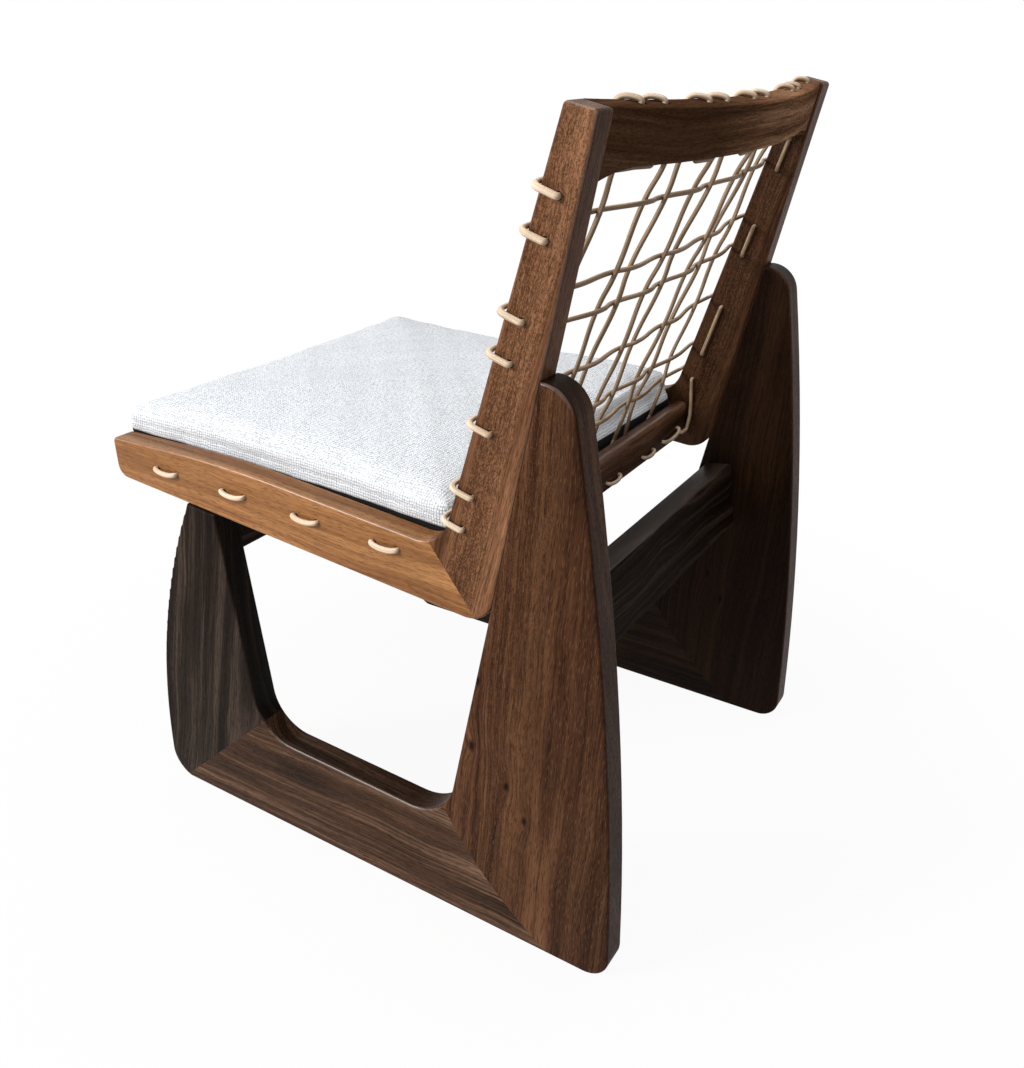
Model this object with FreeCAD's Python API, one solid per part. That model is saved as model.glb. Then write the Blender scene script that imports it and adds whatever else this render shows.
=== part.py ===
import FreeCAD, Part
import math
import os
from FreeCAD import Vector

# A wooden chair with a laced leather back and a loose seat cushion.
# Two side frames stand on the floor. Two L-shaped seat frames, each a seat rail and a back
# stile, lie in the same planes as the side frames: each rail rests on a front post and each
# stile leans on a rear post. Five cross rails tie the two sides together.
# X runs across the chair, the sitter faces -Y, and Z is up. The origin is on the floor, at the
# middle of the chair. Lengths are in millimetres and angles in degrees.
# Places along the depth are given as distances forward of the heels of the rear posts.

# Whole chair
overall_width = 520.0
overall_depth = 605.0
back_height = 778.0
back_angle = 12.2

# Side frames
side_board = 30.0
side_set_back = 9.0
board_edge_radius = 3.0
front_post_height = 384.0
front_post_set_back = 95.0
front_post_top_width = 40.0
front_post_belly = 21.0
front_foot_height = 37.0
front_foot_length = 25.0
front_foot_belly = 8.0
window_floor = 112.5
window_floor_angle = 1.7
window_front_angle = 6.3
window_front_radius = 47.0
window_rear_radius = 55.0
rear_post_height = 585.0
rear_post_top_forward = 50.5
rear_post_top_width = 32.5
rear_post_top_round = 26.0
rear_post_belly = 11.5
heel_radius = 26.0
front_mitre_set_back = 19.0
front_mitre_angle = 43.0
rear_mitre_forward = 60.0
rear_mitre_rise = 20.0
rear_mitre_belly = 13.0

# Seat frames
seat_board = 25.0
seat_board_inset = 2.5
stile_top_width = 27.0
stile_top_radius = 3.5
stile_front_angle = 17.4
seat_rail_angle = 4.58
seat_rail_height = 60.3
seat_rail_nose_height = 43.5
seat_rail_taper_length = 165.0
seat_rail_taper_bend = 1400.0
seat_rail_nose_radius = 14.0
seat_rail_nose_top_radius = 5.0
seat_corner_inner_radius = 35.0
seat_corner_outer_radius = 30.0
seat_mitre_shift = 10.0

# Top rail
top_rail_thickness = 24.0
top_rail_rear_height = 38.5
top_rail_front_height = 48.5
top_rail_bow = 31.0
top_rail_flare = 12.0
top_rail_set_in = 2.5
top_rail_edge_radius = 2.5

# Other cross rails
cross_rail_edge_radius = 2.5
lower_rail_depth = 20.0
lower_rail_height = 40.0
lower_rail_set_in = 54.5
lower_rail_rise = 14.1
lower_rail_top_radius = 7.0
stretcher_height = 80.0
stretcher_thickness = 32.0
stretcher_inset = 5.8
stretcher_drop = 38.5
stretcher_angle = 8.0
bearer_thickness = 30.0
bearer_height = 46.0
bearer_set_in = 1.0
bearer_set_down = 2.0
front_rail_depth = 30.0
front_rail_height = 20.0
front_rail_set_back = 8.0

# Lacing
cord_diameter = 5.0
first_cord_drop = 51.5
cord_clearance = 0.35
hole_clearance = 0.7
hole_bend = 5.2
edge_bend = 5.9
weave_bend = 24.0
weave_step = 3.25
span_bend = 15.0
stitch_reach = 17.3
stitch_drop = 9.0
loop_height = 7.2
loop_bend = 8.5
loop_shift = 14.0
loop_hole_set_in = 12.5
foot_stitch_rise = 9.5
foot_stitch_length = 29.0
foot_link_drop = 4.0
first_cord_hole_depth = 12.0
tail_hole_rise = 6.5
tail_hole_set_in = 16.5
tail_step = 10.0
tail_step_rise = 9.0
tail_stitch_length = 41.0
tail_stitch_drop = 5.0
seat_first_hole_set_back = 64.5
seat_hole_pitch = 29.0
seat_stitch_pitch = 94.5
seat_last_hole_gap = 40.0
seat_hole_rise = 27.3
seat_hole_angle = 1.8

# Heights of the cross cords below the highest one, as shares of the room between the lower rail
# and the top rail, and backward bows of them all at mid width, as shares of the top rail's bow.
# The highest one lies on the top rail.
cross_cord_height_shares = (0.928, 0.733, 0.624, 0.428, 0.234, 0.130)
cross_cord_bow_shares = (1.0, 0.935, 0.645, 0.516, 0.323, 0.161, 0.084)
# Places of the upright cords at the top rail and at the lower rail, as shares of half the width
# between the stiles
upright_top_shares = (0.860, 0.740, 0.473, 0.344, 0.108, -0.022, -0.387, -0.508, -0.783)
upright_foot_shares = (0.843, 0.731, 0.447, 0.327, 0.043, -0.090, -0.344, -0.470, -0.753)

# Dowels
dowel_diameter = 10.0
dowel_length = 44.0
small_dowel_diameter = 8.0
small_dowel_length = 36.0
dowel_clearance = 0.1
dowel_end_clearance = 0.5

# Cushion
cushion_side_gap = 4.5
cushion_front_set_back = 1.0
cushion_rear_gap = 6.5
cushion_edge_height = 39.5
cushion_crown = 12.0
cushion_edge_round = 8.0
cushion_corner_radius = 20.0
cushion_side_draw = 3.0
cushion_rest_gap = 0.3
cover_thickness = 1.5
cover_gap = 0.3

overrun = 5.0

# Shares that shape the curved outlines
top_rail_section_shares = (-1.0, -0.75, -0.5, -0.25, 0.0, 0.25, 0.5, 0.75, 1.0)
top_rail_flare_shares = (1.0, 0.0, 0.0, 0.0, 0.0, 0.0, 0.0, 0.0, 1.0)
cushion_side_height_shares = (0.0, 0.06, 0.2, 0.5, 0.8, 0.94, 1.0)
cushion_side_inset_shares = (1.0, 0.5, 0.15, 0.0, 0.15, 0.5, 1.0)
cushion_crown_shares = (0.92, 0.78, 0.6, 0.4, 0.2)
mitre_dowel_shares = (0.3, 0.7)
seat_mitre_dowel_shares = (0.22, 0.6)
stile_dowel_height_shares = (0.41, 0.8)
rail_dowel_shares = (0.25, 0.75)
bearer_dowel_shares = (0.6, 0.85)
corner_room_share = 0.49

half_width = overall_width / 2
side_depth = overall_depth - side_set_back
heel_y = overall_depth / 2
side_inner = half_width - side_board
seat_outer = half_width - seat_board_inset
seat_inner = seat_outer - seat_board
side_middle = (half_width + side_inner) / 2
seat_middle = (seat_outer + seat_inner) / 2
cord_radius = cord_diameter / 2
cord_offset = cord_radius + cord_clearance
tiny = cord_clearance / 100
mm3_in_cm3 = 1000
LEFT = 1
RIGHT = -1


def place(x, forward, height):
    return Vector(x, heel_y - forward, height)


def slope(degrees):
    return math.tan(math.radians(degrees))


def unit(vector):
    result = Vector(vector)
    result.normalize()
    return result


def turned(forward, height, degrees):
    """A forward and up offset, turned so that what is up leans back by the angle."""
    angle = math.radians(degrees)
    return Vector(0, height * math.sin(angle) - forward * math.cos(angle),
                  height * math.cos(angle) + forward * math.sin(angle))


def lean_line(height):
    """Distance forward of the face shared by a rear post and a back stile."""
    post_top = rear_post_top_forward + rear_post_top_width
    return post_top + (rear_post_height - height) * slope(back_angle)


def stile_top_corners():
    """The rear and front top corners of a stile, cut square to its rear edge."""
    drop = stile_top_width * math.sin(math.radians(back_angle))
    rear_height = back_height - drop
    rear = place(0, lean_line(rear_height), rear_height)
    return rear, rear + turned(stile_top_width, 0, back_angle)


def stile_front(height):
    """Distance forward of the front edge of a stile."""
    front = stile_top_corners()[1]
    return heel_y - front.y + (back_height - height) * slope(stile_front_angle)


def rail_underside(forward):
    """Height of the underside of a seat rail, which rests on the front post."""
    post_front = side_depth - front_post_set_back
    return front_post_height - (post_front - forward) * slope(seat_rail_angle)


def seat_hole_z(forward):
    first = rail_underside(seat_first_hole) + seat_hole_rise
    return first - (seat_first_hole - forward) * slope(seat_hole_angle)


seat_first_hole = overall_depth - seat_first_hole_set_back
lower_rail_front = lean_line(front_post_height) + lower_rail_set_in
lower_rail_underside = rail_underside(lower_rail_front) + lower_rail_rise
lower_rail_top = lower_rail_underside + lower_rail_height
stretcher_top = front_post_height - stretcher_drop
stretcher_forward = lean_line(stretcher_top) - stretcher_inset - stretcher_thickness


def meeting(p, p_way, q, q_way):
    """Where two lines of one YZ plane meet."""
    cross = p_way.y * q_way.z - p_way.z * q_way.y
    share = ((q.y - p.y) * q_way.z - (q.z - p.z) * q_way.y) / cross
    return p + p_way * share


def tangent_belly(edge, end):
    """The belly of the arc to a point that goes on smoothly from the end of an edge."""
    start = edge.valueAt(edge.LastParameter)
    turn = edge.tangentAt(edge.LastParameter).getAngle(end - start)
    return (end - start).Length / 2 * math.tan(turn / 2)


def bulged(start, end, belly, outward):
    """An arc whose middle stands off the straight line by the belly."""
    normal = unit((end - start).cross(Vector(1, 0, 0)))
    if normal.dot(outward) < 0:
        normal = normal * -1
    return Part.Arc(start, (start + end) * 0.5 + normal * belly, end).toShape()


def corner_arc(before, corner, after, radius):
    """Start, middle and end of the arc that rounds a corner, and its radius."""
    room = min((before - corner).Length, (after - corner).Length) * corner_room_share
    back = unit(before - corner)
    on = unit(after - corner)
    half = back.getAngle(on) / 2
    reach = min(radius / math.tan(half), room)
    radius = reach * math.tan(half)
    inward = unit(back + on)
    middle = corner + inward * (radius / math.sin(half) - radius)
    return corner + back * reach, middle, corner + on * reach, radius


def rounded_path(stops, closed=False):
    """Edges through (point, radius) stops, as straight runs and tangent arcs, and the radii."""
    count = len(stops)
    turns = []
    radii = []
    for index, (point, radius) in enumerate(stops):
        if radius > 0 and (closed or 0 < index < count - 1):
            following = stops[(index + 1) % count][0]
            start, middle, end, true_radius = corner_arc(stops[index - 1][0], point, following, radius)
            turns.append((start, middle, end))
            radii.append(true_radius)
        else:
            turns.append((point, None, point))
    edges = []
    for index, (start, middle, end) in enumerate(turns):
        if middle is not None:
            edges.append(Part.Arc(start, middle, end).toShape())
        if closed or index + 1 < count:
            following = turns[(index + 1) % count][0]
            if (following - end).Length > tiny:
                edges.append(Part.LineSegment(end, following).toShape())
    return edges, radii


def board(edges, x_from, x_to):
    """A flat board whose outline lies in the YZ plane."""
    face = Part.Face(Part.Wire(Part.__sortEdges__(edges)))
    face.translate(Vector(x_from, 0, 0))
    return face.extrude(Vector(x_to - x_from, 0, 0))


def soften_board(solid, x_places):
    """Round the edges of a board that lie in its two broad faces."""
    def on_face(edge):
        box = edge.BoundBox
        return box.XLength < tiny and any(abs(box.XMin - x) < tiny for x in x_places)
    return solid.makeFillet(board_edge_radius, [edge for edge in solid.Edges if on_face(edge)])


def mirrored(solid):
    return solid.mirror(Vector(0, 0, 0), Vector(1, 0, 0))


def solid_of(shape):
    """The one solid that a cut leaves, without the crumbs."""
    return max(shape.Solids, key=lambda solid: solid.Volume)


def pin(start, end, radius):
    way = end - start
    return Part.makeCylinder(radius, way.Length, start, way)


class Dowels:
    """Dowels of one kind, and the holes that they sit in."""

    def __init__(self, diameter, length):
        self.diameter = diameter
        self.length = length
        self.pins = []
        self.holes = []

    def add(self, centre, way):
        way = unit(way)
        reach = way * (self.length / 2)
        hole_reach = way * (self.length / 2 + dowel_end_clearance)
        hole_radius = self.diameter / 2 + dowel_clearance
        self.pins.append(pin(centre - reach, centre + reach, self.diameter / 2))
        self.holes.append(pin(centre - hole_reach, centre + hole_reach, hole_radius))

    def add_pair(self, centre, way):
        """A dowel on the left, and the same on the right."""
        self.add(centre, way)
        self.add(Vector(-centre.x, centre.y, centre.z), Vector(-way.x, way.y, way.z))


def side_frame(mitre_dowels):
    """Front post, bottom rail and rear post of the left side frame."""
    forward = Vector(0, -1, 0)
    down = Vector(0, 0, -1)
    post_front = side_depth - front_post_set_back
    post_rear = post_front - front_post_top_width
    heel = place(0, 0, 0)
    top_back = place(0, rear_post_top_forward, rear_post_height - rear_post_top_round)
    top_front = place(0, lean_line(rear_post_height), rear_post_height)
    rest_rear = place(0, post_rear, rail_underside(post_rear))
    rest_front = place(0, post_front, rail_underside(post_front))
    toe_top = place(0, side_depth, front_foot_height)
    toe = place(0, side_depth - front_foot_length, 0)

    rear_corner = place(0, lean_line(window_floor), window_floor)
    floor_way = turned(1, 0, window_floor_angle)
    front_way = turned(0, 1, -window_front_angle)
    front_corner = meeting(rear_corner, floor_way, rest_rear, front_way)
    window, radii = rounded_path([(top_front, 0), (rear_corner, window_rear_radius),
                                  (front_corner, window_front_radius), (rest_rear, 0)])
    edges = window
    rear = bulged(heel, top_back, rear_post_belly, forward * -1)
    edges.append(rear)
    edges.append(bulged(top_back, top_front, tangent_belly(rear, top_front), down * -1))
    edges.append(Part.LineSegment(rest_rear, rest_front).toShape())
    edges.append(bulged(rest_front, toe_top, front_post_belly, forward))
    edges.append(bulged(toe_top, toe, front_foot_belly, forward + down))
    edges.append(Part.LineSegment(toe, heel).toShape())
    whole = board(edges, side_inner, half_width)
    heel_edges = [edge for edge in whole.Edges if edge.CenterOfMass.isEqual(heel + Vector(side_middle), tiny)]
    whole = whole.makeFillet(heel_radius, heel_edges)
    whole = soften_board(whole, (side_inner, half_width))

    # Front mitre: a straight line that rises to the rear from the toe
    x_from = side_inner - overrun
    x_to = half_width + overrun
    mitre_way = turned(-1, 0, -front_mitre_angle)
    start = place(0, side_depth - front_mitre_set_back, 0)
    end = meeting(start, mitre_way, front_corner + Vector(0, 0, window_front_radius / 2), floor_way)
    far = place(0, overall_depth + overrun, back_height)
    low = start - mitre_way * overrun
    corners = [low, end, Vector(0, end.y, far.z), far, Vector(0, far.y, low.z)]
    front_region = board(rounded_path([(point, 0) for point in corners], True)[0], x_from, x_to)

    # Rear mitre: a curve that falls to the rear from the window
    head = rear_corner + Vector(0, 0, rear_mitre_rise)
    foot = place(0, rear_mitre_forward, 0)
    line = unit(head - foot)
    curve = bulged(foot - line * overrun, head + line * overrun, rear_mitre_belly, forward + down)
    first = curve.Vertexes[0].Point
    last = curve.Vertexes[-1].Point
    back = place(0, -overrun, back_height)
    corners = [last, Vector(0, last.y, back.z), back, Vector(0, back.y, first.z), first]
    rear_edges = rounded_path([(point, 0) for point in corners])[0]
    rear_region = board([curve] + rear_edges, x_from, x_to)

    front_post = solid_of(whole.common(front_region))
    rear_post = solid_of(whole.common(rear_region))
    bottom_rail = solid_of(whole.cut([front_region, rear_region]))

    across_front = mitre_way.cross(Vector(1, 0, 0))
    across_rear = line.cross(Vector(1, 0, 0))
    rear_middle = unit(across_rear) * rear_mitre_belly
    if rear_middle.dot(forward + down) < 0:
        rear_middle = rear_middle * -1
    for share in mitre_dowel_shares:
        on_front = start + (end - start) * share
        on_rear = foot + (head - foot) * share + rear_middle
        for point, way in ((on_front, across_front), (on_rear, across_rear)):
            mitre_dowels.add_pair(Vector(side_middle, point.y, point.z), way)
    return {"front_post": front_post, "bottom_rail": bottom_rail, "rear_post": rear_post}


def seat_frame(mitre_dowels):
    """Seat rail and back stile of the left seat frame."""
    rear_top, front_top = stile_top_corners()
    stile_way = turned(0, 1, stile_front_angle)
    lean_way = turned(0, 1, back_angle)
    rail_way = turned(1, 0, seat_rail_angle)
    nose_low = place(0, overall_depth, rail_underside(overall_depth))
    nose_top = nose_low + Vector(0, 0, seat_rail_nose_height)
    taper_forward = overall_depth - seat_rail_taper_length
    taper_end = place(0, taper_forward, rail_underside(taper_forward) + seat_rail_height)
    inner_corner = meeting(taper_end, rail_way, front_top, stile_way)
    outer_corner = meeting(nose_low, rail_way, rear_top, lean_way)
    stops = [(nose_low, seat_rail_nose_radius), (nose_top, seat_rail_nose_top_radius),
             (taper_end, seat_rail_taper_bend), (inner_corner, seat_corner_inner_radius),
             (front_top, stile_top_radius), (rear_top, stile_top_radius),
             (outer_corner, seat_corner_outer_radius)]
    whole = board(rounded_path(stops, True)[0], seat_inner, seat_outer)
    whole = soften_board(whole, (seat_inner, seat_outer))

    shift = rail_way * seat_mitre_shift
    inner = inner_corner + shift
    outer = outer_corner + shift
    mitre_way = unit(inner - outer)
    high = inner + mitre_way * seat_corner_inner_radius
    low = outer - mitre_way * seat_corner_outer_radius
    back = place(0, -overrun, back_height + overrun)
    corners = [high, Vector(0, high.y, back.z), back, Vector(0, back.y, low.z), low]
    edges = rounded_path([(point, 0) for point in corners], True)[0]
    region = board(edges, seat_inner - overrun, seat_outer + overrun)
    across = mitre_way.cross(Vector(1, 0, 0))
    for share in seat_mitre_dowel_shares:
        point = inner + (outer - inner) * share
        mitre_dowels.add_pair(Vector(seat_middle, point.y, point.z), across)
    return {"seat_rail": solid_of(whole.cut(region)), "back_stile": solid_of(whole.common(region))}


def top_rail_point(x, through, up):
    """A point by its place across, its depth from the rear face and its height above the top."""
    bow = top_rail_bow * (1 - (x / seat_inner) ** 2)
    offset = turned(through + top_rail_set_in - bow, up, back_angle)
    return stile_top_corners()[0] + offset + Vector(x, 0, 0)


def top_rail_bottom(through):
    """Height of the underside, from the top, at a depth from the rear face."""
    fall = top_rail_front_height - top_rail_rear_height
    return -top_rail_rear_height - fall * through / top_rail_thickness


def top_rail_face(x, height):
    """Distance forward of the rail's front face at a height above the floor."""
    top = top_rail_point(x, top_rail_thickness, 0)
    return heel_y - top.y + (top.z - height) * slope(back_angle)


def top_rail():
    """The bowed rail: its bottom slopes down to the front and flares down at both ends."""
    sections = []
    for x_share, flare_share in zip(top_rail_section_shares, top_rail_flare_shares):
        x = x_share * seat_inner
        flare = flare_share * top_rail_flare
        corners = [top_rail_point(x, 0, 0), top_rail_point(x, top_rail_thickness, 0),
                   top_rail_point(x, top_rail_thickness, top_rail_bottom(top_rail_thickness) - flare),
                   top_rail_point(x, 0, top_rail_bottom(0) - flare)]
        sections.append(Part.makePolygon(corners + corners[:1]))
    rail = Part.makeLoft(sections, True, False)
    long_edges = [edge for edge in rail.Edges if edge.BoundBox.XLength > seat_inner]
    return rail.makeFillet(top_rail_edge_radius, long_edges)


def cross_rail(half_length, forward, top, depth, height, lean, radii):
    """A straight rail, placed by its rear top corner. Radii are for the top and bottom edges."""
    rail = Part.makeBox(2 * half_length, depth, height, Vector(-half_length, -depth, -height))
    for radius, level in zip(radii, (0, -height)):
        edges = [edge for edge in rail.Edges
                 if edge.BoundBox.XLength > half_length and abs(edge.BoundBox.ZMin - level) < tiny]
        rail = rail.makeFillet(radius, edges)
    rail.rotate(Vector(0, 0, 0), Vector(1, 0, 0), lean)
    rail.translate(place(0, forward, top))
    return rail


def rail_dowels(dowels, half_length, forward, top, depth, height, lean, shares):
    """Dowels in both ends of a straight rail, at shares of its height from the top."""
    for share in shares:
        offset = turned(depth / 2, -height * share, -lean)
        point = place(0, forward, top) + offset
        dowels.add_pair(Vector(half_length, point.y, point.z), Vector(1, 0, 0))


def cross_cord_height(row):
    if row == 0:
        return back_height - first_cord_drop
    room = back_height - top_rail_front_height - top_rail_flare - lower_rail_top
    return lower_rail_top + cross_cord_height_shares[row - 1] * room


def cross_cord_point(row, x, offset):
    """A point on a cross cord between the stiles, with an offset to the front."""
    height = cross_cord_height(row)
    if row == 0:
        forward = top_rail_face(x, height) + cord_offset + weave_step
    else:
        bow = cross_cord_bow_shares[row] * top_rail_bow
        forward = stile_front(height) + cord_offset - bow * (1 - (x / seat_inner) ** 2)
    return place(x, forward + offset, height)


def upright_x(column, height):
    """Place across of an upright cord at a height."""
    share = (height - lower_rail_top) / (back_height - lower_rail_top)
    foot = upright_foot_shares[column]
    return (foot + (upright_top_shares[column] - foot) * share) * seat_inner


def crossing(row, column, of_upright):
    """Where two cords cross: one passes in front of the other, by turns."""
    height = cross_cord_height(row)
    behind = 1 if (row + column) % 2 == 0 else -1
    offset = -weave_step * behind if of_upright else weave_step * behind
    return cross_cord_point(row, upright_x(column, height), offset), weave_bend


def stitch_hole(row, x):
    height = cross_cord_height(row) - stitch_drop
    return place(x, stile_front(height) - stitch_reach, height)


def cross_cord_route():
    """One cord, from the top of the left stile, to and fro down to the lower back rail."""
    rows = len(cross_cord_bow_shares)
    columns = list(range(len(upright_top_shares)))
    inner = seat_inner - cord_offset
    outer = seat_outer + cord_offset
    stops = []

    def through_stile(row, side, towards_front):
        height = cross_cord_height(row)
        front = place(side * outer, stile_front(height) + cord_offset, height)
        lip = place(side * seat_inner, stile_front(height) + cord_offset, height)
        run = [(stitch_hole(row, side * inner), hole_bend), (stitch_hole(row, side * outer), hole_bend),
               (front, edge_bend), (lip, span_bend)]
        stops.extend(run if towards_front else run[::-1])

    side = LEFT
    for row in range(rows):
        through_stile(row, side, True)
        stops.extend(crossing(row, column, False) for column in columns[::side])
        side = -side
        through_stile(row, side, False)
    stops[0] = (stitch_hole(0, seat_inner), 0)

    # The end runs down the right stile, through the lower rail and back, and along its rear face
    front = lower_rail_front + cord_offset
    rear = lower_rail_front - lower_rail_depth - cord_offset
    low = lower_rail_underside + tail_hole_rise
    high = low + tail_step_rise
    first = RIGHT * (seat_inner - tail_hole_set_in)
    second = first + tail_step
    third = second + tail_stitch_length
    last = high - tail_stitch_drop
    end = rear + cord_offset + first_cord_hole_depth
    tail = [(RIGHT * inner, rear, low), (first, rear, low), (first, front, low), (second, front, high),
            (second, rear, high), (third, rear, last)]
    stops.extend((place(*point), hole_bend) for point in tail)
    stops.append((place(third, end, last), 0))
    return stops


def upright_cord_route():
    """One cord, from the left end of the lower rail, up and down to the right."""
    rows = list(range(len(cross_cord_bow_shares)))
    front = lower_rail_front + cord_offset
    rear = lower_rail_front - lower_rail_depth - cord_offset
    hole_z = lower_rail_underside + foot_stitch_rise
    link_z = lower_rail_top - foot_link_drop
    underside_angle = math.atan((top_rail_front_height - top_rail_rear_height) / top_rail_thickness)
    stops = []
    first_x = upright_foot_shares[0] * seat_inner
    stops.append((place(first_x, lower_rail_front - first_cord_hole_depth, link_z), 0))
    stops.append((place(first_x, front, link_z), hole_bend))
    for column in range(len(upright_top_shares)):
        top_x = upright_x(column, back_height)
        hole_x = top_x - loop_shift
        hole_through = top_rail_thickness - loop_hole_set_in
        bottom = top_rail_bottom(hole_through) - cord_offset / math.cos(underside_angle)
        run = [crossing(row, column, True) for row in rows[::-1]]
        run.append((top_rail_point(top_x, top_rail_thickness + cord_offset, loop_height), loop_bend))
        run.append((top_rail_point(hole_x, hole_through, loop_height), loop_bend))
        run.append((top_rail_point(hole_x, hole_through, bottom), hole_bend))
        if column % 2 == 0:
            stops.extend(run)
            continue
        stops.extend(run[::-1])
        foot = upright_foot_shares[column] * seat_inner
        far = foot - foot_stitch_length
        next_foot = upright_foot_shares[column + 1] * seat_inner
        stops.append((place(foot, front, link_z), span_bend))
        stops.append((place(foot, front, hole_z), hole_bend))
        stops.append((place(foot, rear, hole_z), hole_bend))
        stops.append((place(far, rear, hole_z), hole_bend))
        stops.append((place(far, front, hole_z), hole_bend))
        stops.append((place(next_foot, front, link_z), hole_bend))
    last = stops[-1][0]
    stops[-1] = (last + turned(0, cord_diameter, back_angle), 0)
    return stops


def seat_cord_route():
    """One cord, to and fro between the seat rails, from the front to the rear."""
    stops = []
    side = RIGHT
    room = seat_first_hole - seat_hole_pitch - lower_rail_front - seat_last_hole_gap
    for stitch in range(int(room / seat_stitch_pitch) + 1):
        for hole in range(2):
            forward = seat_first_hole - stitch * seat_stitch_pitch - hole * seat_hole_pitch
            outer = seat_outer + cord_offset
            ends = [place(side * outer, forward, seat_hole_z(forward)),
                    place(-side * outer, forward, seat_hole_z(forward))]
            stops.extend((point, hole_bend) for point in ends)
            side = -side
    for index in (0, -1):
        point = stops[index][0]
        stops[index] = (Vector(math.copysign(seat_outer, point.x), point.y, point.z), 0)
    return stops


def tube(stops, radius):
    """A round tube along a route, and the radii of its bends."""
    edges, radii = rounded_path(stops)
    spine = Part.Wire(edges)
    way = stops[1][0] - stops[0][0]
    circle = Part.Wire(Part.makeCircle(radius, stops[0][0], way))
    return spine.makePipeShell([circle], True, False), spine.Length, radii


def cord(name, stops):
    """The solid of a whole cord, with its volume and bends reported."""
    solid, length, radii = tube(stops, cord_radius)
    expected = math.pi * cord_radius ** 2 * length
    print(name, "length", round(length), "volume share", round(solid.Volume / expected, 4),
          "bends", len(radii), "smallest", round(min(radii), 2), "largest", round(max(radii), 1))
    return solid


def holes_for(stops, is_hole_run):
    """The clearance holes along a route, each with the bends at its mouths."""
    holes = []
    for index in range(len(stops) - 1):
        start = stops[index][0]
        end = stops[index + 1][0]
        if not is_hole_run(start, end):
            continue
        run = [stops[index], stops[index + 1]]
        if index > 0:
            run.insert(0, ((stops[index - 1][0] + start) * 0.5, 0))
        if index + 2 < len(stops):
            run.append(((stops[index + 2][0] + end) * 0.5, 0))
        holes.append(tube(run, cord_radius + hole_clearance)[0])
    return holes


def crosses_board(start, end):
    """Whether a run goes straight through a seat frame."""
    along_x = (end - start).cross(Vector(1, 0, 0)).Length < tiny
    low, high = sorted((start.x, end.x))
    return along_x and (low < -seat_middle < high or low < seat_middle < high)


def crosses_lower_rail(start, end):
    y = heel_y - lower_rail_front + lower_rail_depth / 2
    low, high = sorted((start.y, end.y))
    level = abs(end.z - start.z) < tiny and abs(end.x - start.x) < tiny
    return level and start.z > lower_rail_underside and low < y < high


def crosses_top_rail(start, end):
    return (end - start).cross(turned(0, 1, back_angle)).Length < tiny


def rounded_rectangle(half_x, half_y, corner, draw, height):
    """A rectangle with round corners, whose sides are drawn in at the middle."""
    starts = []
    ends = []
    corners = []
    quarters = ((1, 1), (-1, 1), (-1, -1), (1, -1))
    for index, (side_x, side_y) in enumerate(quarters):
        centre = Vector(side_x * (half_x - corner), side_y * (half_y - corner), height)
        points = []
        for step in range(3):
            angle = math.radians(90 * index + 45 * step)
            points.append(centre + Vector(math.cos(angle), math.sin(angle), 0) * corner)
        starts.append(points[0])
        ends.append(points[2])
        corners.append(Part.Arc(*points).toShape())
    wire = []
    for index in range(len(quarters)):
        end = ends[index]
        following = starts[(index + 1) % len(quarters)]
        angle = math.radians(90 * (index + 1))
        inward = Vector(math.cos(angle), math.sin(angle), 0) * -draw
        wire.append(corners[index])
        wire.append(Part.Arc(end, (end + following) * 0.5 + inward, following).toShape())
    return Part.Wire(wire)


def cushion_form(shrink):
    """The cushion's shape, or a smaller one inside it: round edges and a crown on top."""
    half_x = seat_inner - cushion_side_gap - shrink
    front = overall_depth - cushion_front_set_back
    rear = lower_rail_front + cushion_rear_gap
    half_y = (front - rear) / 2 - shrink
    side_height = cushion_edge_height - 2 * shrink
    corner = cushion_corner_radius - shrink
    sections = []
    for height_share, inset_share in zip(cushion_side_height_shares, cushion_side_inset_shares):
        inset = inset_share * cushion_edge_round
        sections.append(rounded_rectangle(half_x - inset, half_y - inset, corner - inset / 2,
                                          cushion_side_draw, shrink + height_share * side_height))
    for share in cushion_crown_shares:
        height = shrink + side_height + cushion_crown * (1 - share ** 2)
        inset = cushion_edge_round * share
        sections.append(rounded_rectangle((half_x - inset) * share, (half_y - inset) * share,
                                          corner * share, cushion_side_draw * share, height))
    form = Part.makeLoft(sections, True, True)
    form.rotate(Vector(0, 0, 0), Vector(1, 0, 0), -seat_hole_angle)
    middle = (front + rear) / 2
    form.translate(place(0, middle, seat_hole_z(middle) + cord_radius + cushion_rest_gap))
    return form


def cut_all(solid, cutters):
    """A piece with the holes that reach into it."""
    near = [cutter for cutter in cutters if solid.BoundBox.intersect(cutter.BoundBox)]
    return solid_of(solid.cut(near)) if near else solid


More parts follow.
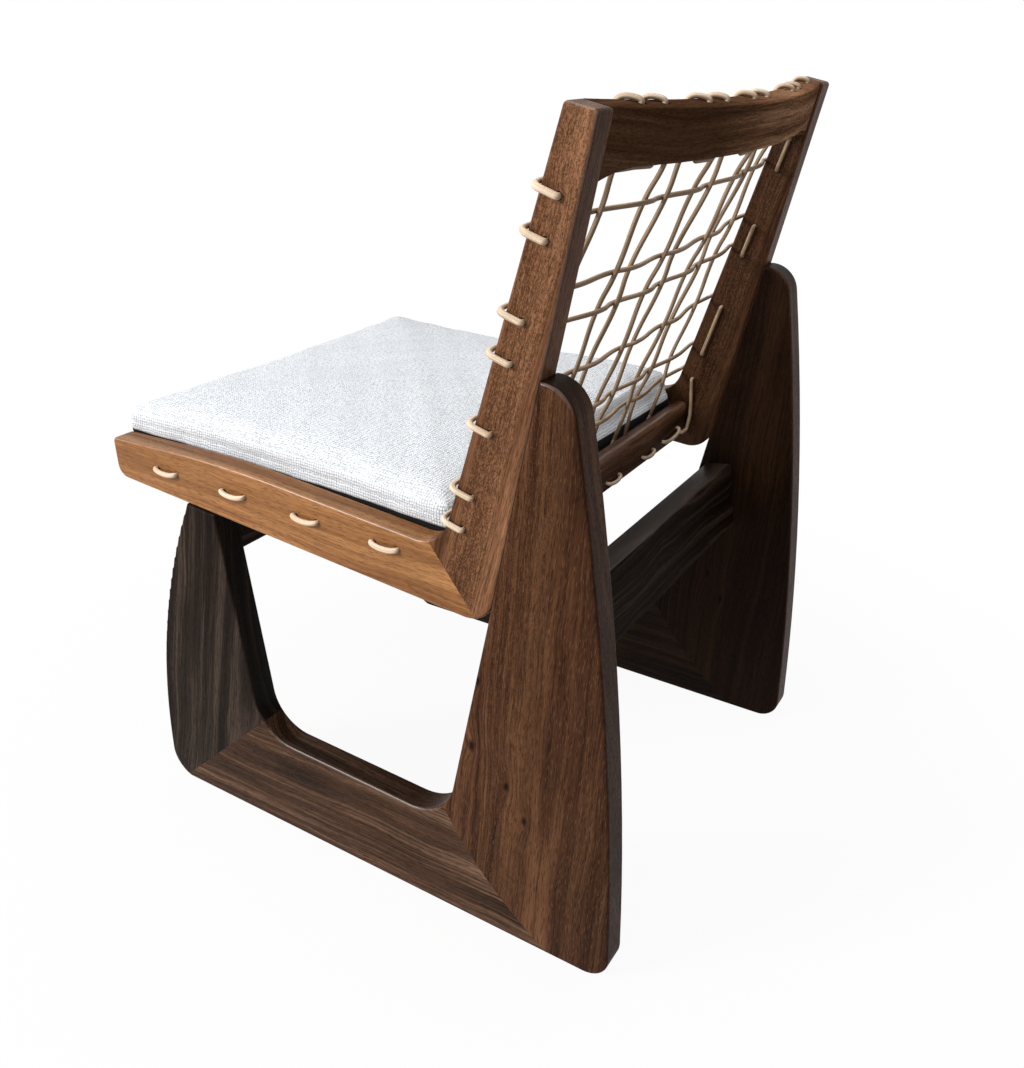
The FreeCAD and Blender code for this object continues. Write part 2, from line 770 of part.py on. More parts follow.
def build():
    side_dowels = Dowels(small_dowel_diameter, small_dowel_length)
    seat_dowels = Dowels(small_dowel_diameter, small_dowel_length)
    stretcher_dowels = Dowels(dowel_diameter, dowel_length)
    small_rail_dowels = Dowels(small_dowel_diameter, small_dowel_length)
    mounting_dowels = Dowels(dowel_diameter, dowel_length)
    edge_radii = (cross_rail_edge_radius, cross_rail_edge_radius)

    wood = {}
    for pieces in (side_frame(side_dowels), seat_frame(seat_dowels)):
        for name, solid in pieces.items():
            wood["left_" + name] = solid
            wood["right_" + name] = mirrored(solid)

    wood["top_rail"] = top_rail()
    for share in rail_dowel_shares:
        through = top_rail_thickness / 2
        point = top_rail_point(seat_inner, through, top_rail_bottom(through) * share)
        small_rail_dowels.add_pair(point, Vector(1, 0, 0))

    lower = (seat_inner, lower_rail_front - lower_rail_depth, lower_rail_top, lower_rail_depth,
             lower_rail_height, 0)
    wood["lower_back_rail"] = cross_rail(*lower, (lower_rail_top_radius, board_edge_radius))
    rail_dowels(small_rail_dowels, *lower, (0.5,))

    front_under = rail_underside(overall_depth) + board_edge_radius
    front = (seat_inner, overall_depth - front_rail_set_back - front_rail_depth,
             front_under + front_rail_height, front_rail_depth, front_rail_height, 0)
    wood["front_seat_rail"] = cross_rail(*front, edge_radii)
    rail_dowels(small_rail_dowels, *front, (0.5,))

    post_rear = side_depth - front_post_set_back - front_post_top_width
    bearer = (side_inner, post_rear + bearer_set_in, rail_underside(post_rear) - bearer_set_down,
              bearer_thickness, bearer_height, window_front_angle)
    wood["front_bearer"] = cross_rail(*bearer, edge_radii)
    rail_dowels(small_rail_dowels, *bearer, bearer_dowel_shares)

    stretcher = (side_inner, stretcher_forward, stretcher_top, stretcher_thickness,
                 stretcher_height, stretcher_angle)
    wood["rear_stretcher"] = cross_rail(*stretcher, edge_radii)
    rail_dowels(stretcher_dowels, *stretcher, rail_dowel_shares)

    # Dowels from the side frames up into the seat rails and forward into the stiles
    post_middle = post_rear + front_post_top_width / 2
    on_post = place(side_middle, post_middle, rail_underside(post_middle))
    mounting_dowels.add_pair(on_post, turned(0, 1, seat_rail_angle))
    for share in stile_dowel_height_shares:
        height = front_post_height + share * (rear_post_height - front_post_height)
        on_lean = place(side_middle, lean_line(height), height)
        mounting_dowels.add_pair(on_lean, turned(1, 0, back_angle))

    cross_route = cross_cord_route()
    upright_route = upright_cord_route()
    seat_route = seat_cord_route()
    cutters = holes_for(cross_route, crosses_board)
    cutters += holes_for(cross_route, crosses_lower_rail)
    cutters += holes_for(upright_route, crosses_top_rail)
    cutters += holes_for(upright_route, crosses_lower_rail)
    cutters += holes_for(seat_route, crosses_board)
    for dowels in (side_dowels, seat_dowels, stretcher_dowels, small_rail_dowels, mounting_dowels):
        cutters += dowels.holes

    nodes = {name: cut_all(solid, cutters) for name, solid in wood.items()}
    nodes["side_frame_dowels"] = Part.makeCompound(side_dowels.pins)
    nodes["seat_frame_dowels"] = Part.makeCompound(seat_dowels.pins)
    nodes["stretcher_dowels"] = Part.makeCompound(stretcher_dowels.pins)
    nodes["cross_rail_dowels"] = Part.makeCompound(small_rail_dowels.pins)
    nodes["seat_mounting_dowels"] = Part.makeCompound(mounting_dowels.pins)
    nodes["back_cross_cord"] = cord("back_cross_cord", cross_route)
    nodes["back_upright_cord"] = cord("back_upright_cord", upright_route)
    nodes["seat_cord"] = cord("seat_cord", seat_route)
    nodes["cushion_cover"] = cushion_form(0).cut(cushion_form(cover_thickness))
    nodes["cushion_core"] = cushion_form(cover_thickness + cover_gap)
    return nodes


os.makedirs("parts", exist_ok=True)
for node, shape in build().items():
    print(node, "solids", len(shape.Solids), "cm3", round(shape.Volume / mm3_in_cm3, 1), "valid", shape.isValid())
    shape.exportStep(os.path.join("parts", node + ".step"))
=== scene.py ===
# %% [markdown]
# This script dresses a wooden chair with a laced back. The boards come in as finished solids, which
# could be modelled again here but are exact already, so the work is wood, leather and cloth.
# Everything is in metres, the sitter faces -Y, +X is the sitter's left and the floor is at Z = 0.

# %% Load the frame
import math

import bpy
import numpy as np
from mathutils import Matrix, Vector


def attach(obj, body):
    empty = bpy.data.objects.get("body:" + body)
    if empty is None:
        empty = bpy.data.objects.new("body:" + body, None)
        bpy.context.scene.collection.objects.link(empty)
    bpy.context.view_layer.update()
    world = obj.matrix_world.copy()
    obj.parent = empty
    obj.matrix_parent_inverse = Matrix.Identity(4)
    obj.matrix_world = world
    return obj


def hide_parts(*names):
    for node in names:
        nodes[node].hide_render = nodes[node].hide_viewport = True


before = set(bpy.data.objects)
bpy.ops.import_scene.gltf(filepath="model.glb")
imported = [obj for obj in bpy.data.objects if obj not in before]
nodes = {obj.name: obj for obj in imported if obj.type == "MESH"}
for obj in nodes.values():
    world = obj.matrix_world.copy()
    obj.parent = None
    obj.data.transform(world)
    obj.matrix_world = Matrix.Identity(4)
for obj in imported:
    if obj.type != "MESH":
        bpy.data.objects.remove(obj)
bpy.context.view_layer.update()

# %% [markdown]
# The photograph fixes the camera: a pinhole of 1006 pixels focal length over a frame 1024 pixels
# wide, behind the chair's left side and a little above its back. An empty to look at would aim it
# too, but with no roll a place and a direction are enough.

# %% Camera
frame_width_px = 1024
focal_px = 1005.98
sensor_width = 36.0
camera_place = Vector((0.8791, 0.5830, 0.8146))
camera_way = Vector((-0.7601, -0.4749, -0.4435))

camera_data = bpy.data.cameras.new("camera")
camera_data.sensor_fit = "HORIZONTAL"
camera_data.sensor_width = sensor_width
camera_data.lens = sensor_width * focal_px / frame_width_px
camera = bpy.data.objects.new("camera", camera_data)
camera.location = camera_place
camera.rotation_euler = camera_way.to_track_quat("-Z", "Y").to_euler()
bpy.context.scene.collection.objects.link(camera)
bpy.context.scene.camera = camera
print("lens", round(camera_data.lens, 2), "mm")

# %% [markdown]
# A material is a small program of nodes. Wiring them by hand hides the formula, so two helpers let
# the formulas be written as plain sums. The first wraps one socket, and adds a Math node for each
# operator.

# %% A number on a surface
class Value:
    """A number that varies over a surface, held in one socket of a node tree."""

    def __init__(self, paint, socket):
        self.paint = paint
        self.socket = socket

    def math(self, operation, *terms):
        return self.paint.node("ShaderNodeMath", {"operation": operation}, dict(enumerate(terms)))

    def __add__(self, other):
        return self.math("ADD", self, other)

    def __sub__(self, other):
        return self.math("SUBTRACT", self, other)

    def __rsub__(self, other):
        return self.math("SUBTRACT", other, self)

    def __mul__(self, other):
        return self.math("MULTIPLY", self, other)

    def __truediv__(self, other):
        return self.math("DIVIDE", self, other)

    def __pow__(self, other):
        return self.math("POWER", self, other)

    __radd__ = __add__
    __rmul__ = __mul__

    def abs(self):
        return self.math("ABSOLUTE", self)

    def root(self):
        return self.math("SQRT", self)

    def sine(self):
        return self.math("SINE", self)

    def cosine(self):
        return self.math("COSINE", self)

    def most(self, other):
        return self.math("MAXIMUM", self, other)

    def clamped(self):
        return self.math("MINIMUM", self.most(0.0), 1.0)

    def step(self, low, high):
        """0 below low, 1 above high, and a straight ramp between them."""
        return ((self - low) / (high - low)).clamped()

    def peak(self, centre, reach):
        """1 at the centre, falling in a straight line to 0 at the reach on both sides."""
        return (1.0 - (self - centre).abs() / reach).clamped()


# %% [markdown]
# The second makes a material and any node in it. One method sets a node's settings before its
# inputs, because some settings change which inputs the node has.

# %% The nodes of a material
class Paint:
    """A material, and the nodes that make it up."""

    def __init__(self, name):
        self.material = bpy.data.materials.new(name)
        self.material.use_nodes = True
        self.tree = self.material.node_tree
        self.shader = self.tree.nodes["Principled BSDF"]

    def connect(self, value, slot):
        if isinstance(value, Value):
            self.tree.links.new(value.socket, slot)
        else:
            slot.default_value = value

    def node(self, kind, settings=None, inputs=None, output=0):
        """Adds a node, sets its settings first and then its inputs, and returns one output."""
        made = self.tree.nodes.new(kind)
        for name, setting in (settings or {}).items():
            setattr(made, name, setting)
        for name, value in (inputs or {}).items():
            self.connect(value, made.inputs[name])
        return Value(self, made.outputs[output])

    def position(self):
        return self.node("ShaderNodeTexCoord", output="Object")

    def normal(self):
        return self.node("ShaderNodeNewGeometry", output="Normal")

    def dot(self, vector, way):
        return self.node("ShaderNodeVectorMath", {"operation": "DOT_PRODUCT"},
                         {0: vector, 1: tuple(way)}, output="Value")

    def combine(self, x, y, z):
        return self.node("ShaderNodeCombineXYZ", None, {0: x, 1: y, 2: z})

    def noise(self, x, y, z, detail=2.0, roughness=0.5):
        """Smooth random values around 0.5, with one lump per unit of each coordinate."""
        return self.node("ShaderNodeTexNoise", None,
                         {"Vector": self.combine(x, y, z), "Scale": 1.0,
                          "Detail": detail, "Roughness": roughness})

    def blend(self, share, first, second, mode="MIX"):
        """The first colour where the share is 0, and the second where it is 1."""
        return self.node("ShaderNodeMix", {"data_type": "RGBA", "blend_type": mode},
                         {0: share, 6: opaque(first), 7: opaque(second)}, output=2)

    def surface(self, colour, roughness, height=None, depth=0.0, **plain):
        """Feeds the shader: colour, roughness, a bump from a height and its depth, and plain values."""
        self.connect(colour, self.shader.inputs["Base Color"])
        self.connect(roughness, self.shader.inputs["Roughness"])
        if height is not None:
            bump = self.node("ShaderNodeBump", None,
                             {"Height": height, "Distance": depth, "Strength": 1.0})
            self.connect(bump, self.shader.inputs["Normal"])
        for name, value in plain.items():
            self.shader.inputs[name.replace("_", " ")].default_value = value
        return self.material


def opaque(colour):
    return colour if isinstance(colour, Value) else (*colour, 1.0)


def unit(vector):
    return Vector(vector).normalized()


def darker(colour, share):
    return tuple(share * part for part in colour)


# %% [markdown]
# Each board was sawn from a log, so its figure is what a flat cut shows of nested rings. A Wave node
# gives rings too, but perfect ones. Here a point's distance from the log's heart is worked out, the
# heart wanders a little along the grain, and knots push the rings aside. A number that multiplies a
# place in the noises below is a count of lumps in a metre.

# %% Places on a board
def board_ways(grain):
    """Three directions at right angles: along the fibres, across the board and through it."""
    along = unit(grain)
    through = Vector((1, 0, 0)) if abs(along.x) < 0.5 else Vector((0, 1, 0))
    return along, unit(through.cross(along)), through


def board_place(paint, grain, centre):
    """The distances from a point of the board in those three directions, in metres."""
    place = paint.position()
    return [paint.dot(place, way) - way.dot(Vector(centre)) for way in board_ways(grain)]


def around_knots(u, v, side, knots):
    """The distance across, pushed aside by each knot, and the knots' dark middles. The distance from
    a knot counts half along the fibres, and the push fades out over six of its radii."""
    shade = None
    for knot_u, knot_v, radius in knots:
        away = (((u - knot_u) * 0.5) ** 2.0 + (v - knot_v) ** 2.0).root() / radius
        side = side + (1.0 - away / 6.0).clamped() ** 2.0 * (2.0 * radius)
        spot = 1.0 - away.step(0.35, 1.0)
        shade = spot if shade is None else shade.most(spot)
    return side, shade


print("across a rear post is", [round(part, 2) for part in board_ways((0, 0.07, 1))[1]])

# %% [markdown]
# Some boards have more than straight grain: a band of fine curly figure, and arrises rubbed shiny. Faces
# that look a given way get painted shade, and the top rail's top face painted light. An arris is found by
# the way that the surface looks there, between those of the two faces that meet.

# %% Curly figure, painted shade and polish
coat_share = 0.9
coat_roughness = 0.36


def curly(paint, colour, u, v, w, edge, seed, zone_of, dark, light):
    """Pale lumps with thin dark worms between them, in a band across the board."""
    middle, half_width, strength = zone_of
    zone = (v + edge).peak(middle, half_width).step(0.0, 0.30) * strength
    swirl = paint.noise(u * 420.0 + v * 260.0, v * 700.0 - u * 150.0, w * 600.0 + seed, 1.0, 0.5)
    colour = paint.blend(swirl.step(0.48, 0.62) * zone * 0.42, colour, light)
    worm = 1.0 - ((swirl - 0.44).abs() * 12.0).clamped()
    return paint.blend(worm * zone, colour, darker(dark, 0.7))


def paint_shade(paint, colour, shades):
    """Painted shade: multiplies the colour by a share on faces that look a given way. A share above 1
    paints light instead.
    """
    for way, left in shades:
        facing = paint.dot(paint.normal(), unit(way)).step(0.5, 0.9)
        colour = paint.blend(facing, colour, (left, left, left), "MULTIPLY")
    return colour


def polished(paint, ways):
    """A coat on arrises that look one of the given ways."""
    rubbed = None
    for way in ways:
        arris = paint.dot(paint.normal(), unit(way)).step(0.82, 0.95)
        rubbed = arris if rubbed is None else rubbed.most(arris)
    if rubbed is not None:
        paint.connect(rubbed * coat_share, paint.shader.inputs["Coat Weight"])
        paint.shader.inputs["Coat Roughness"].default_value = coat_roughness


# %% [markdown]
# On the rings comes what the eye sees as wood: broad bands, fine lines, darker patches, streaks,
# pores as short dark dashes, and pale flecks. A picture of wood would need unwrapping and would
# repeat, so it is all noise, stretched along the fibres. Every board gets its own place in it.

# %% Wood
wood_relief = 0.00022


def wood(name, tones, grain, centre, heart=(-0.05, -0.09), bands=120.0, wander=0.018, seed=0.0,
         streaks=0.55, flecks=0.10, curl=None, stripe=None, stain=None, rim=None, knots=(),
         contrast=1.0, gloss=0.42, shine=0.04, shades=(), polish=()):
    """A material for one board. Grain is the direction of its fibres and centre a point in it. Heart
    is where the log's middle lies, across and through the board, in metres. Curl and stripe are
    zones across the board, each a (middle, half width, strength): curly figure and a paler streak.
    Darker along is a zone along it that is darker, and rim one across it: (start, full, strength). A knot
    is a (place along, place across, radius). A painted shade is a way that faces may look and the share of
    the colour left on those that do, below 1 for painted shade and above 1 for painted light. Polish lists
    the ways that an arris rubbed shiny looks."""
    dark, middle, light = tones
    paint = Paint(name)
    u, v, w = board_place(paint, grain, centre)
    drift = paint.noise(u * 6.0, v * 11.0, w * 11.0 + seed, 2.0) - 0.5
    ripple = paint.noise(u * 30.0, v * 60.0, w * 60.0 + seed, 1.0) - 0.5
    side = v + drift * (2.0 * wander) + ripple * 0.0018
    side, knot_shade = around_knots(u, v, side, knots)
    ring = ((side - heart[0]) ** 2.0 + (w - heart[1]) ** 2.0).root()

    band = paint.noise(ring * bands, u * 1.5, seed, 3.0, 0.6)
    line = paint.noise(ring * (bands * 5.0), u * 7.0, seed + 4.0, 2.0)
    fibre = paint.noise(u * 22.0, side * 900.0, w * 900.0 + seed, 1.0)
    tone = (band - 0.5) * (1.7 * contrast) + (line - 0.5) * (0.6 * contrast) + (fibre - 0.5) * 0.3 + 0.5
    colour = paint.blend(tone.step(0.20, 0.52), dark, middle)
    colour = paint.blend(tone.step(0.50, 0.85), colour, light)
    blotch = paint.noise(u * 9.0, v * 16.0, w * 16.0 + seed + 9.0, 2.0)
    colour = paint.blend(blotch.step(0.42, 0.75) * 0.4, colour, darker(middle, 0.6))

    # Darker from a start to a full place along the board.
    if stain:
        zone = (u + drift * 0.12).step(stain[0], stain[1]) * stain[2]
        colour = paint.blend(zone, colour, darker(dark, 0.9))
    if rim:
        zone = (v + drift * 0.03).step(rim[0], rim[1]) * rim[2]
        colour = paint.blend(zone, colour, darker(middle, 0.42))
    if stripe:
        zone = (v + drift * 0.02).peak(stripe[0], stripe[1]) ** 0.5 * stripe[2]
        colour = paint.blend(zone, colour, light)
    if curl:
        colour = curly(paint, colour, u, v, w, ripple * 0.012 + drift * 0.02, seed, curl, dark, light)

    streak = paint.noise(u * 9.0, side * 420.0, w * 420.0 + seed + 2.0, 1.0).step(0.55, 0.66)
    colour = paint.blend(streak * streaks, colour, darker(dark, 0.8))
    pore = paint.noise(u * 110.0, side * 1300.0, w * 1300.0 + seed, 0.0).step(0.58, 0.70)
    colour = paint.blend(pore * 0.5, colour, darker(dark, 0.5))
    fleck = paint.noise(u * 150.0, side * 1100.0, w * 1100.0 + seed + 6.0, 0.0).step(0.64, 0.74)
    colour = paint.blend(fleck * flecks, colour, light)
    if knot_shade is not None:
        colour = paint.blend(knot_shade * 0.9, colour, darker(dark, 0.25))
    end_grain = paint.dot(paint.normal(), unit(grain)).abs().step(0.80, 0.95)
    colour = paint.blend(end_grain * 0.5, colour, darker(dark, 0.6))
    # Painted shade, and painted light where a share is above 1, on faces that look the given ways.
    colour = paint_shade(paint, colour, shades)
    polished(paint, polish)

    rough = (fibre - 0.5) * 0.2 + (blotch - 0.5) * 0.2 + gloss + pore * 0.1
    height = fibre * 0.35 - pore * 0.7 - streak * 0.3
    return paint.surface(colour, rough, height, wood_relief, Specular_IOR_Level=shine)


# %% [markdown]
# The photograph shows one timber in several tones: honey on the seat rails, mid brown on the
# stiles and cross rails, a redder brown on the rear posts, and grey brown on the front posts. Each
# tone is three colours, for the dark, middle and light of its grain.

# %% Tones of the wood
honey = ((0.160, 0.058, 0.017), (0.360, 0.156, 0.053), (0.540, 0.268, 0.102))
stile_brown = ((0.050, 0.020, 0.009), (0.180, 0.077, 0.036), (0.350, 0.168, 0.084))
red_brown = ((0.020, 0.007, 0.003), (0.086, 0.034, 0.015), (0.195, 0.088, 0.040))
rail_brown = ((0.016, 0.008, 0.004), (0.080, 0.038, 0.021), (0.220, 0.126, 0.078))
grey_brown = ((0.006, 0.003, 0.002), (0.020, 0.0115, 0.0068), (0.074, 0.050, 0.036))
top_brown = ((0.044, 0.020, 0.010), (0.190, 0.096, 0.052), (0.420, 0.240, 0.140))
lower_brown = ((0.022, 0.008, 0.004), (0.105, 0.043, 0.021), (0.260, 0.128, 0.070))
dowel_tone = ((0.42, 0.29, 0.17), (0.55, 0.40, 0.25), (0.66, 0.50, 0.33))


def dress(node, slot, *board, **figure):
    """Gives a node of the frame a wood of its own. The slot is not used."""
    thing = nodes[node]
    thing.data.materials.clear()
    thing.data.materials.append(wood(node, *board, **figure))


print("honey, dark to light:", honey)


# %% [markdown]
# Fibres follow each board's length: the lean of the posts, and along the floor for the bottom rail.
# Faces that look inwards, and some that look back or up, get painted shade. The rear posts are the widest
# boards, and have four small knots each.

# %% Boards of the side frames
sides = (("left", 0.245, (-1, 0, 0), 0.0), ("right", -0.245, (1, 0, 0), 30.0))
for side, x, inward, turn in sides:
    # Painted shade on the faces that look inwards, and on faces that look back or up.
    dress(side + "_front_post", "walnut_dark", grey_brown, (0, 0.22, 0.97), (x, -0.245, 0.19),
          heart=(-0.10, -0.06), bands=95.0, seed=2.0 + turn, wander=0.010, streaks=0.5,
          contrast=1.2, shades=((inward, 0.35), ((0, 1, -0.1), 0.35)))
    dress(side + "_bottom_rail", "walnut_dark", rail_brown, (0, 1, 0.02), (x, 0.0, 0.06),
          heart=(0.03, -0.05), bands=120.0, seed=11.0 + turn, wander=0.010, streaks=0.6,
          contrast=1.0, shades=((inward, 0.22), ((0, 0, 1), 0.5)),
          polish=((-0.75 * inward[0], 0, 0.66),))
    dress(side + "_rear_post", "walnut_dark", red_brown, (0, 0.07, 1), (x, 0.215, 0.28),
          heart=(-0.025, -0.030), bands=150.0, seed=5.0 + turn, wander=0.008,
          stripe=(0.0, 0.016, 0.25), streaks=0.45, contrast=0.85, flecks=0.3,
          rim=(-0.032, -0.055, 0.5), curl=(0.020, 0.030, 0.35),
          polish=((-0.75 * inward[0], 0.2, 0.63),),
          shades=((inward, 0.17), ((0, 1, 0), 0.58), ((0, 0.3, 1), 0.28)),
          knots=((0.013, 0.056, 0.0035), (-0.063, 0.059, 0.0050), (-0.092, 0.019, 0.0036),
                 (-0.123, -0.003, 0.0038)))
print("dressed the side frames, 3 boards on each side")

# %% [markdown]
# The seat frames are paler and glossier. Up the middle of the stile runs a band of fine curly
# figure, and towards its edges the grain is straight.

# %% Boards of the seat frames
for side, x, inward, turn in sides:
    # Painted shade on the faces that look inwards, back or up.
    dress(side + "_seat_rail", "walnut_honey", honey, (0, -1, 0.06), (x, -0.09, 0.40),
          heart=(-0.05, -0.04), bands=85.0, seed=21.0 + turn, wander=0.010, contrast=0.7,
          streaks=0.25, gloss=0.36, shine=0.12, shades=((inward, 0.25), ((0, 0, 1), 0.7)),
          polish=((-0.6 * inward[0], 0, 0.8),))
    dress(side + "_back_stile", "walnut_mid", stile_brown, (0, 0.258, 0.966), (x, 0.192, 0.55),
          heart=(-0.16, -0.05), bands=75.0, seed=17.0 + turn, wander=0.008, contrast=0.8,
          streaks=0.35, curl=(0.008, 0.019, 0.7), gloss=0.38,
          polish=((-0.5 * inward[0], -0.1, 0.86), (-0.7 * inward[0], 0.7, 0.2)),
          shades=((inward, 0.34), ((0, 1, 0), 0.64)))
print("dressed the seat frames, 2 boards on each side")

# %% [markdown]
# The cross rails' fibres run from side to side. The top rail is the dullest, with no pale flecks,
# and darker towards the sitter's left. The dowels are a pale hardwood, hidden in the joints.

# %% Cross rails and dowels
# Painted light on the top rail's top face, and painted shade on the rear faces of the lower back rail and
# the stretcher.
dress("top_rail", "walnut_dark", top_brown, (1, 0, 0), (0, 0.26, 0.75), heart=(-0.07, 0.03),
      bands=80.0, seed=31.0, wander=0.010, streaks=0.35, gloss=0.5, shine=0.0, flecks=0.0,
      stain=(-0.01, 0.10, 0.8), shades=(((0, 0.2, 1), 1.5),))
dress("lower_back_rail", "walnut_mid", lower_brown, (1, 0, 0), (0, 0.131, 0.39),
      heart=(-0.03, 0.03), bands=95.0, seed=33.0, shades=(((0, 1, -0.2), 0.65),),
      polish=((0, 0.5, 0.85),))
dress("front_seat_rail", "walnut_mid", stile_brown, (1, 0, 0), (0, -0.28, 0.40), seed=35.0)
dress("front_bearer", "walnut_dark", grey_brown, (1, 0, 0), (0, -0.17, 0.36), seed=37.0)
dress("rear_stretcher", "walnut_dark", grey_brown, (1, 0, 0), (0, 0.20, 0.31),
      heart=(-0.08, 0.02), seed=39.0, gloss=0.5, shine=0.01, shades=(((0, 1, 0), 0.6),),
      polish=((0, 0.1, 1),))
for group in ("side_frame", "seat_frame", "stretcher", "cross_rail", "seat_mounting"):
    dress(group + "_dowels", "dowel_wood", dowel_tone, (1, 0, 0), (0, 0, 0.3), bands=300.0, seed=51.0)
print("dressed 5 cross rails and 5 groups of dowels")

# %% [markdown]
# The lacing is round leather cord. Its route is the same as in the solids: through the stiles and
# rails, and over and under where two cords cross. It has few control points, with close ones only
# where the cord turns into a hole.

# %% Sizes that the lacing follows
depth_half = 0.3025
back_height = 0.778
back_lean = math.radians(12.2)
stile_front_lean = math.radians(17.4)
post_top_forward = 0.083
post_top = 0.585
stile_top_width = 0.027
inner_x = 0.2325
outer_x = 0.2575
rail_bow = 0.031
rail_thickness = 0.024
rail_set_in = 0.0025
lower_front = 0.181
lower_depth = 0.020
lower_under = 0.3725
lower_height = 0.040
cord_off = 0.00285
first_cord_drop = 0.0515
net_drop = 0.0605

lower_top = lower_under + lower_height
net_room = back_height - net_drop - lower_top
height_shares = np.array((0.0, 0.928, 0.733, 0.624, 0.428, 0.234, 0.130))
bow_shares = np.array((1.0, 0.935, 0.645, 0.516, 0.323, 0.161, 0.084))
top_shares = np.array((0.860, 0.740, 0.473, 0.344, 0.108, -0.022, -0.387, -0.508, -0.783))
foot_shares = np.array((0.843, 0.731, 0.447, 0.327, 0.043, -0.090, -0.344, -0.470, -0.753))
cross_heights = lower_top + height_shares * net_room
cross_heights[0] = back_height - first_cord_drop
cross_bows = bow_shares * rail_bow
upright_tops = top_shares * inner_x
upright_feet = foot_shares * inner_x
print(len(cross_heights), "cords across the back and", len(upright_tops), "up it")

# %% [markdown]
# The cords touch leaning and bowed boards, so their places come from the boards' sizes: straight
# lines for the leaning edges, and a parabola for the bow of the top rail.

# %% Places on the boards
def place(x, forward, height):
    """A point, from its distance forward of the heels of the rear posts."""
    return np.array((x, depth_half - forward, height))


def leaned(forward, height):
    """A forward and up offset, turned back by the back's lean."""
    return np.array((0.0, height * math.sin(back_lean) - forward * math.cos(back_lean),
                     height * math.cos(back_lean) + forward * math.sin(back_lean)))


stile_rear_height = back_height - stile_top_width * math.sin(back_lean)
stile_rear_forward = post_top_forward + (post_top - stile_rear_height) * math.tan(back_lean)
stile_rear_top = place(0, stile_rear_forward, stile_rear_height)
stile_front_forward = stile_rear_forward + stile_top_width * math.cos(back_lean)


def stile_front(height):
    return stile_front_forward + (back_height - height) * math.tan(stile_front_lean)


def rail_point(x, through, up):
    """A point of the top rail: across, forward of its rear face, and above its top."""
    bow = rail_bow * (1 - (x / inner_x) ** 2)
    return stile_rear_top + leaned(through + rail_set_in - bow, up) + np.array((x, 0, 0))


def rail_face(x, height):
    top = rail_point(x, rail_thickness, 0)
    return depth_half - top[1] + (top[2] - height) * math.tan(back_lean)


print("top rail bows back by", round(float(rail_point(0, 0, 0)[1] - rail_point(inner_x, 0, 0)[1]), 4), "m")

# %% [markdown]
# One cord is laced to and fro between the stiles. It goes through a hole, round the stile's front
# edge and on across, swinging before and behind the upright cord by turns. Its end shows as a tail
# with two stitches on the lower rail.

# %% Route of the cross cord
cross_swing = 0.0054
upright_swing = 0.0030
top_cord_off = 0.0058
stitch_reach = 0.0173
stitch_drop = 0.009
tight = 0.0045
cord_front = lower_front + cord_off
cord_rear = lower_front - lower_depth - cord_off


def cross_point(row, x, offset):
    """A point on a cross cord: between the stiles it bows back, except the top one, which lies on
    the top rail."""
    height = cross_heights[row]
    if row == 0:
        forward = rail_face(x, height) + top_cord_off
    else:
        forward = stile_front(height) + cord_off - cross_bows[row] * (1 - (x / inner_x) ** 2)
    return place(x, forward + offset, height)


def crossing(row, column, of_upright):
    """The control point of a crossing. One cord swings forward and the other back, by turns."""
    height = cross_heights[row]
    share = (height - lower_top) / (back_height - lower_top)
    x = upright_feet[column] + (upright_tops[column] - upright_feet[column]) * share
    behind = 1 if (row + column) % 2 == 0 else -1
    swing = -upright_swing * behind if of_upright else cross_swing * behind
    return cross_point(row, x, swing), None


def hole(row, x):
    height = cross_heights[row] - stitch_drop
    return place(x, stile_front(height) - stitch_reach, height)


def cross_route():
    """Control points of the cross cord, each with the reach of its bend."""
    inner = inner_x - cord_off
    outer = outer_x + cord_off
    stops = []

    def stile_turn(row, side, towards_front):
        height = cross_heights[row]
        edge = stile_front(height)
        run = [(hole(row, side * inner), tight), (hole(row, side * outer), 0.0035),
               (place(side * (outer_x + 0.0060), edge + 0.0052, height - 0.0015), None),
               (place(side * (inner_x + 0.003), edge + cord_off, height), tight)]
        stops.extend(run if towards_front else run[::-1])

    side = 1
    columns = list(range(len(upright_tops)))
    for row in range(len(cross_heights)):
        stile_turn(row, side, True)
        stops.extend(crossing(row, column, False) for column in columns[::side])
        side = -side
        stile_turn(row, side, False)
    stops[0] = (hole(0, inner_x), tight)

    low = lower_under + 0.0065
    high = low + 0.009
    first = -(inner_x - 0.0165)
    second = first + 0.010
    third = second + 0.041
    tail = [((-inner, cord_rear - 0.004, 0.402), None), ((-inner, cord_rear, low), 0.006),
            ((first, cord_rear, low), tight), ((first, cord_front, low), tight),
            ((second, cord_front, high), tight), ((second, cord_rear, high), (tight, None)),
            ((second + 0.004, cord_rear - 0.002, high - 0.0045), None),
            ((third - 0.014, cord_rear - 0.001, high - 0.0080), None),
            ((third, cord_rear, high - 0.005), (None, tight)),
            ((third, cord_rear + cord_off + 0.012, high - 0.005), None)]
    stops.extend((place(*point), reach) for point, reach in tail)
    return stops


cross_stops = cross_route()
print("cross cord has", len(cross_stops), "control points")

# %% [markdown]
# The second cord goes up and down the back, from the sitter's left to the right. Over the top rail
# it makes a small arch from the front edge to a hole, and below it makes a stitch through the lower
# rail.

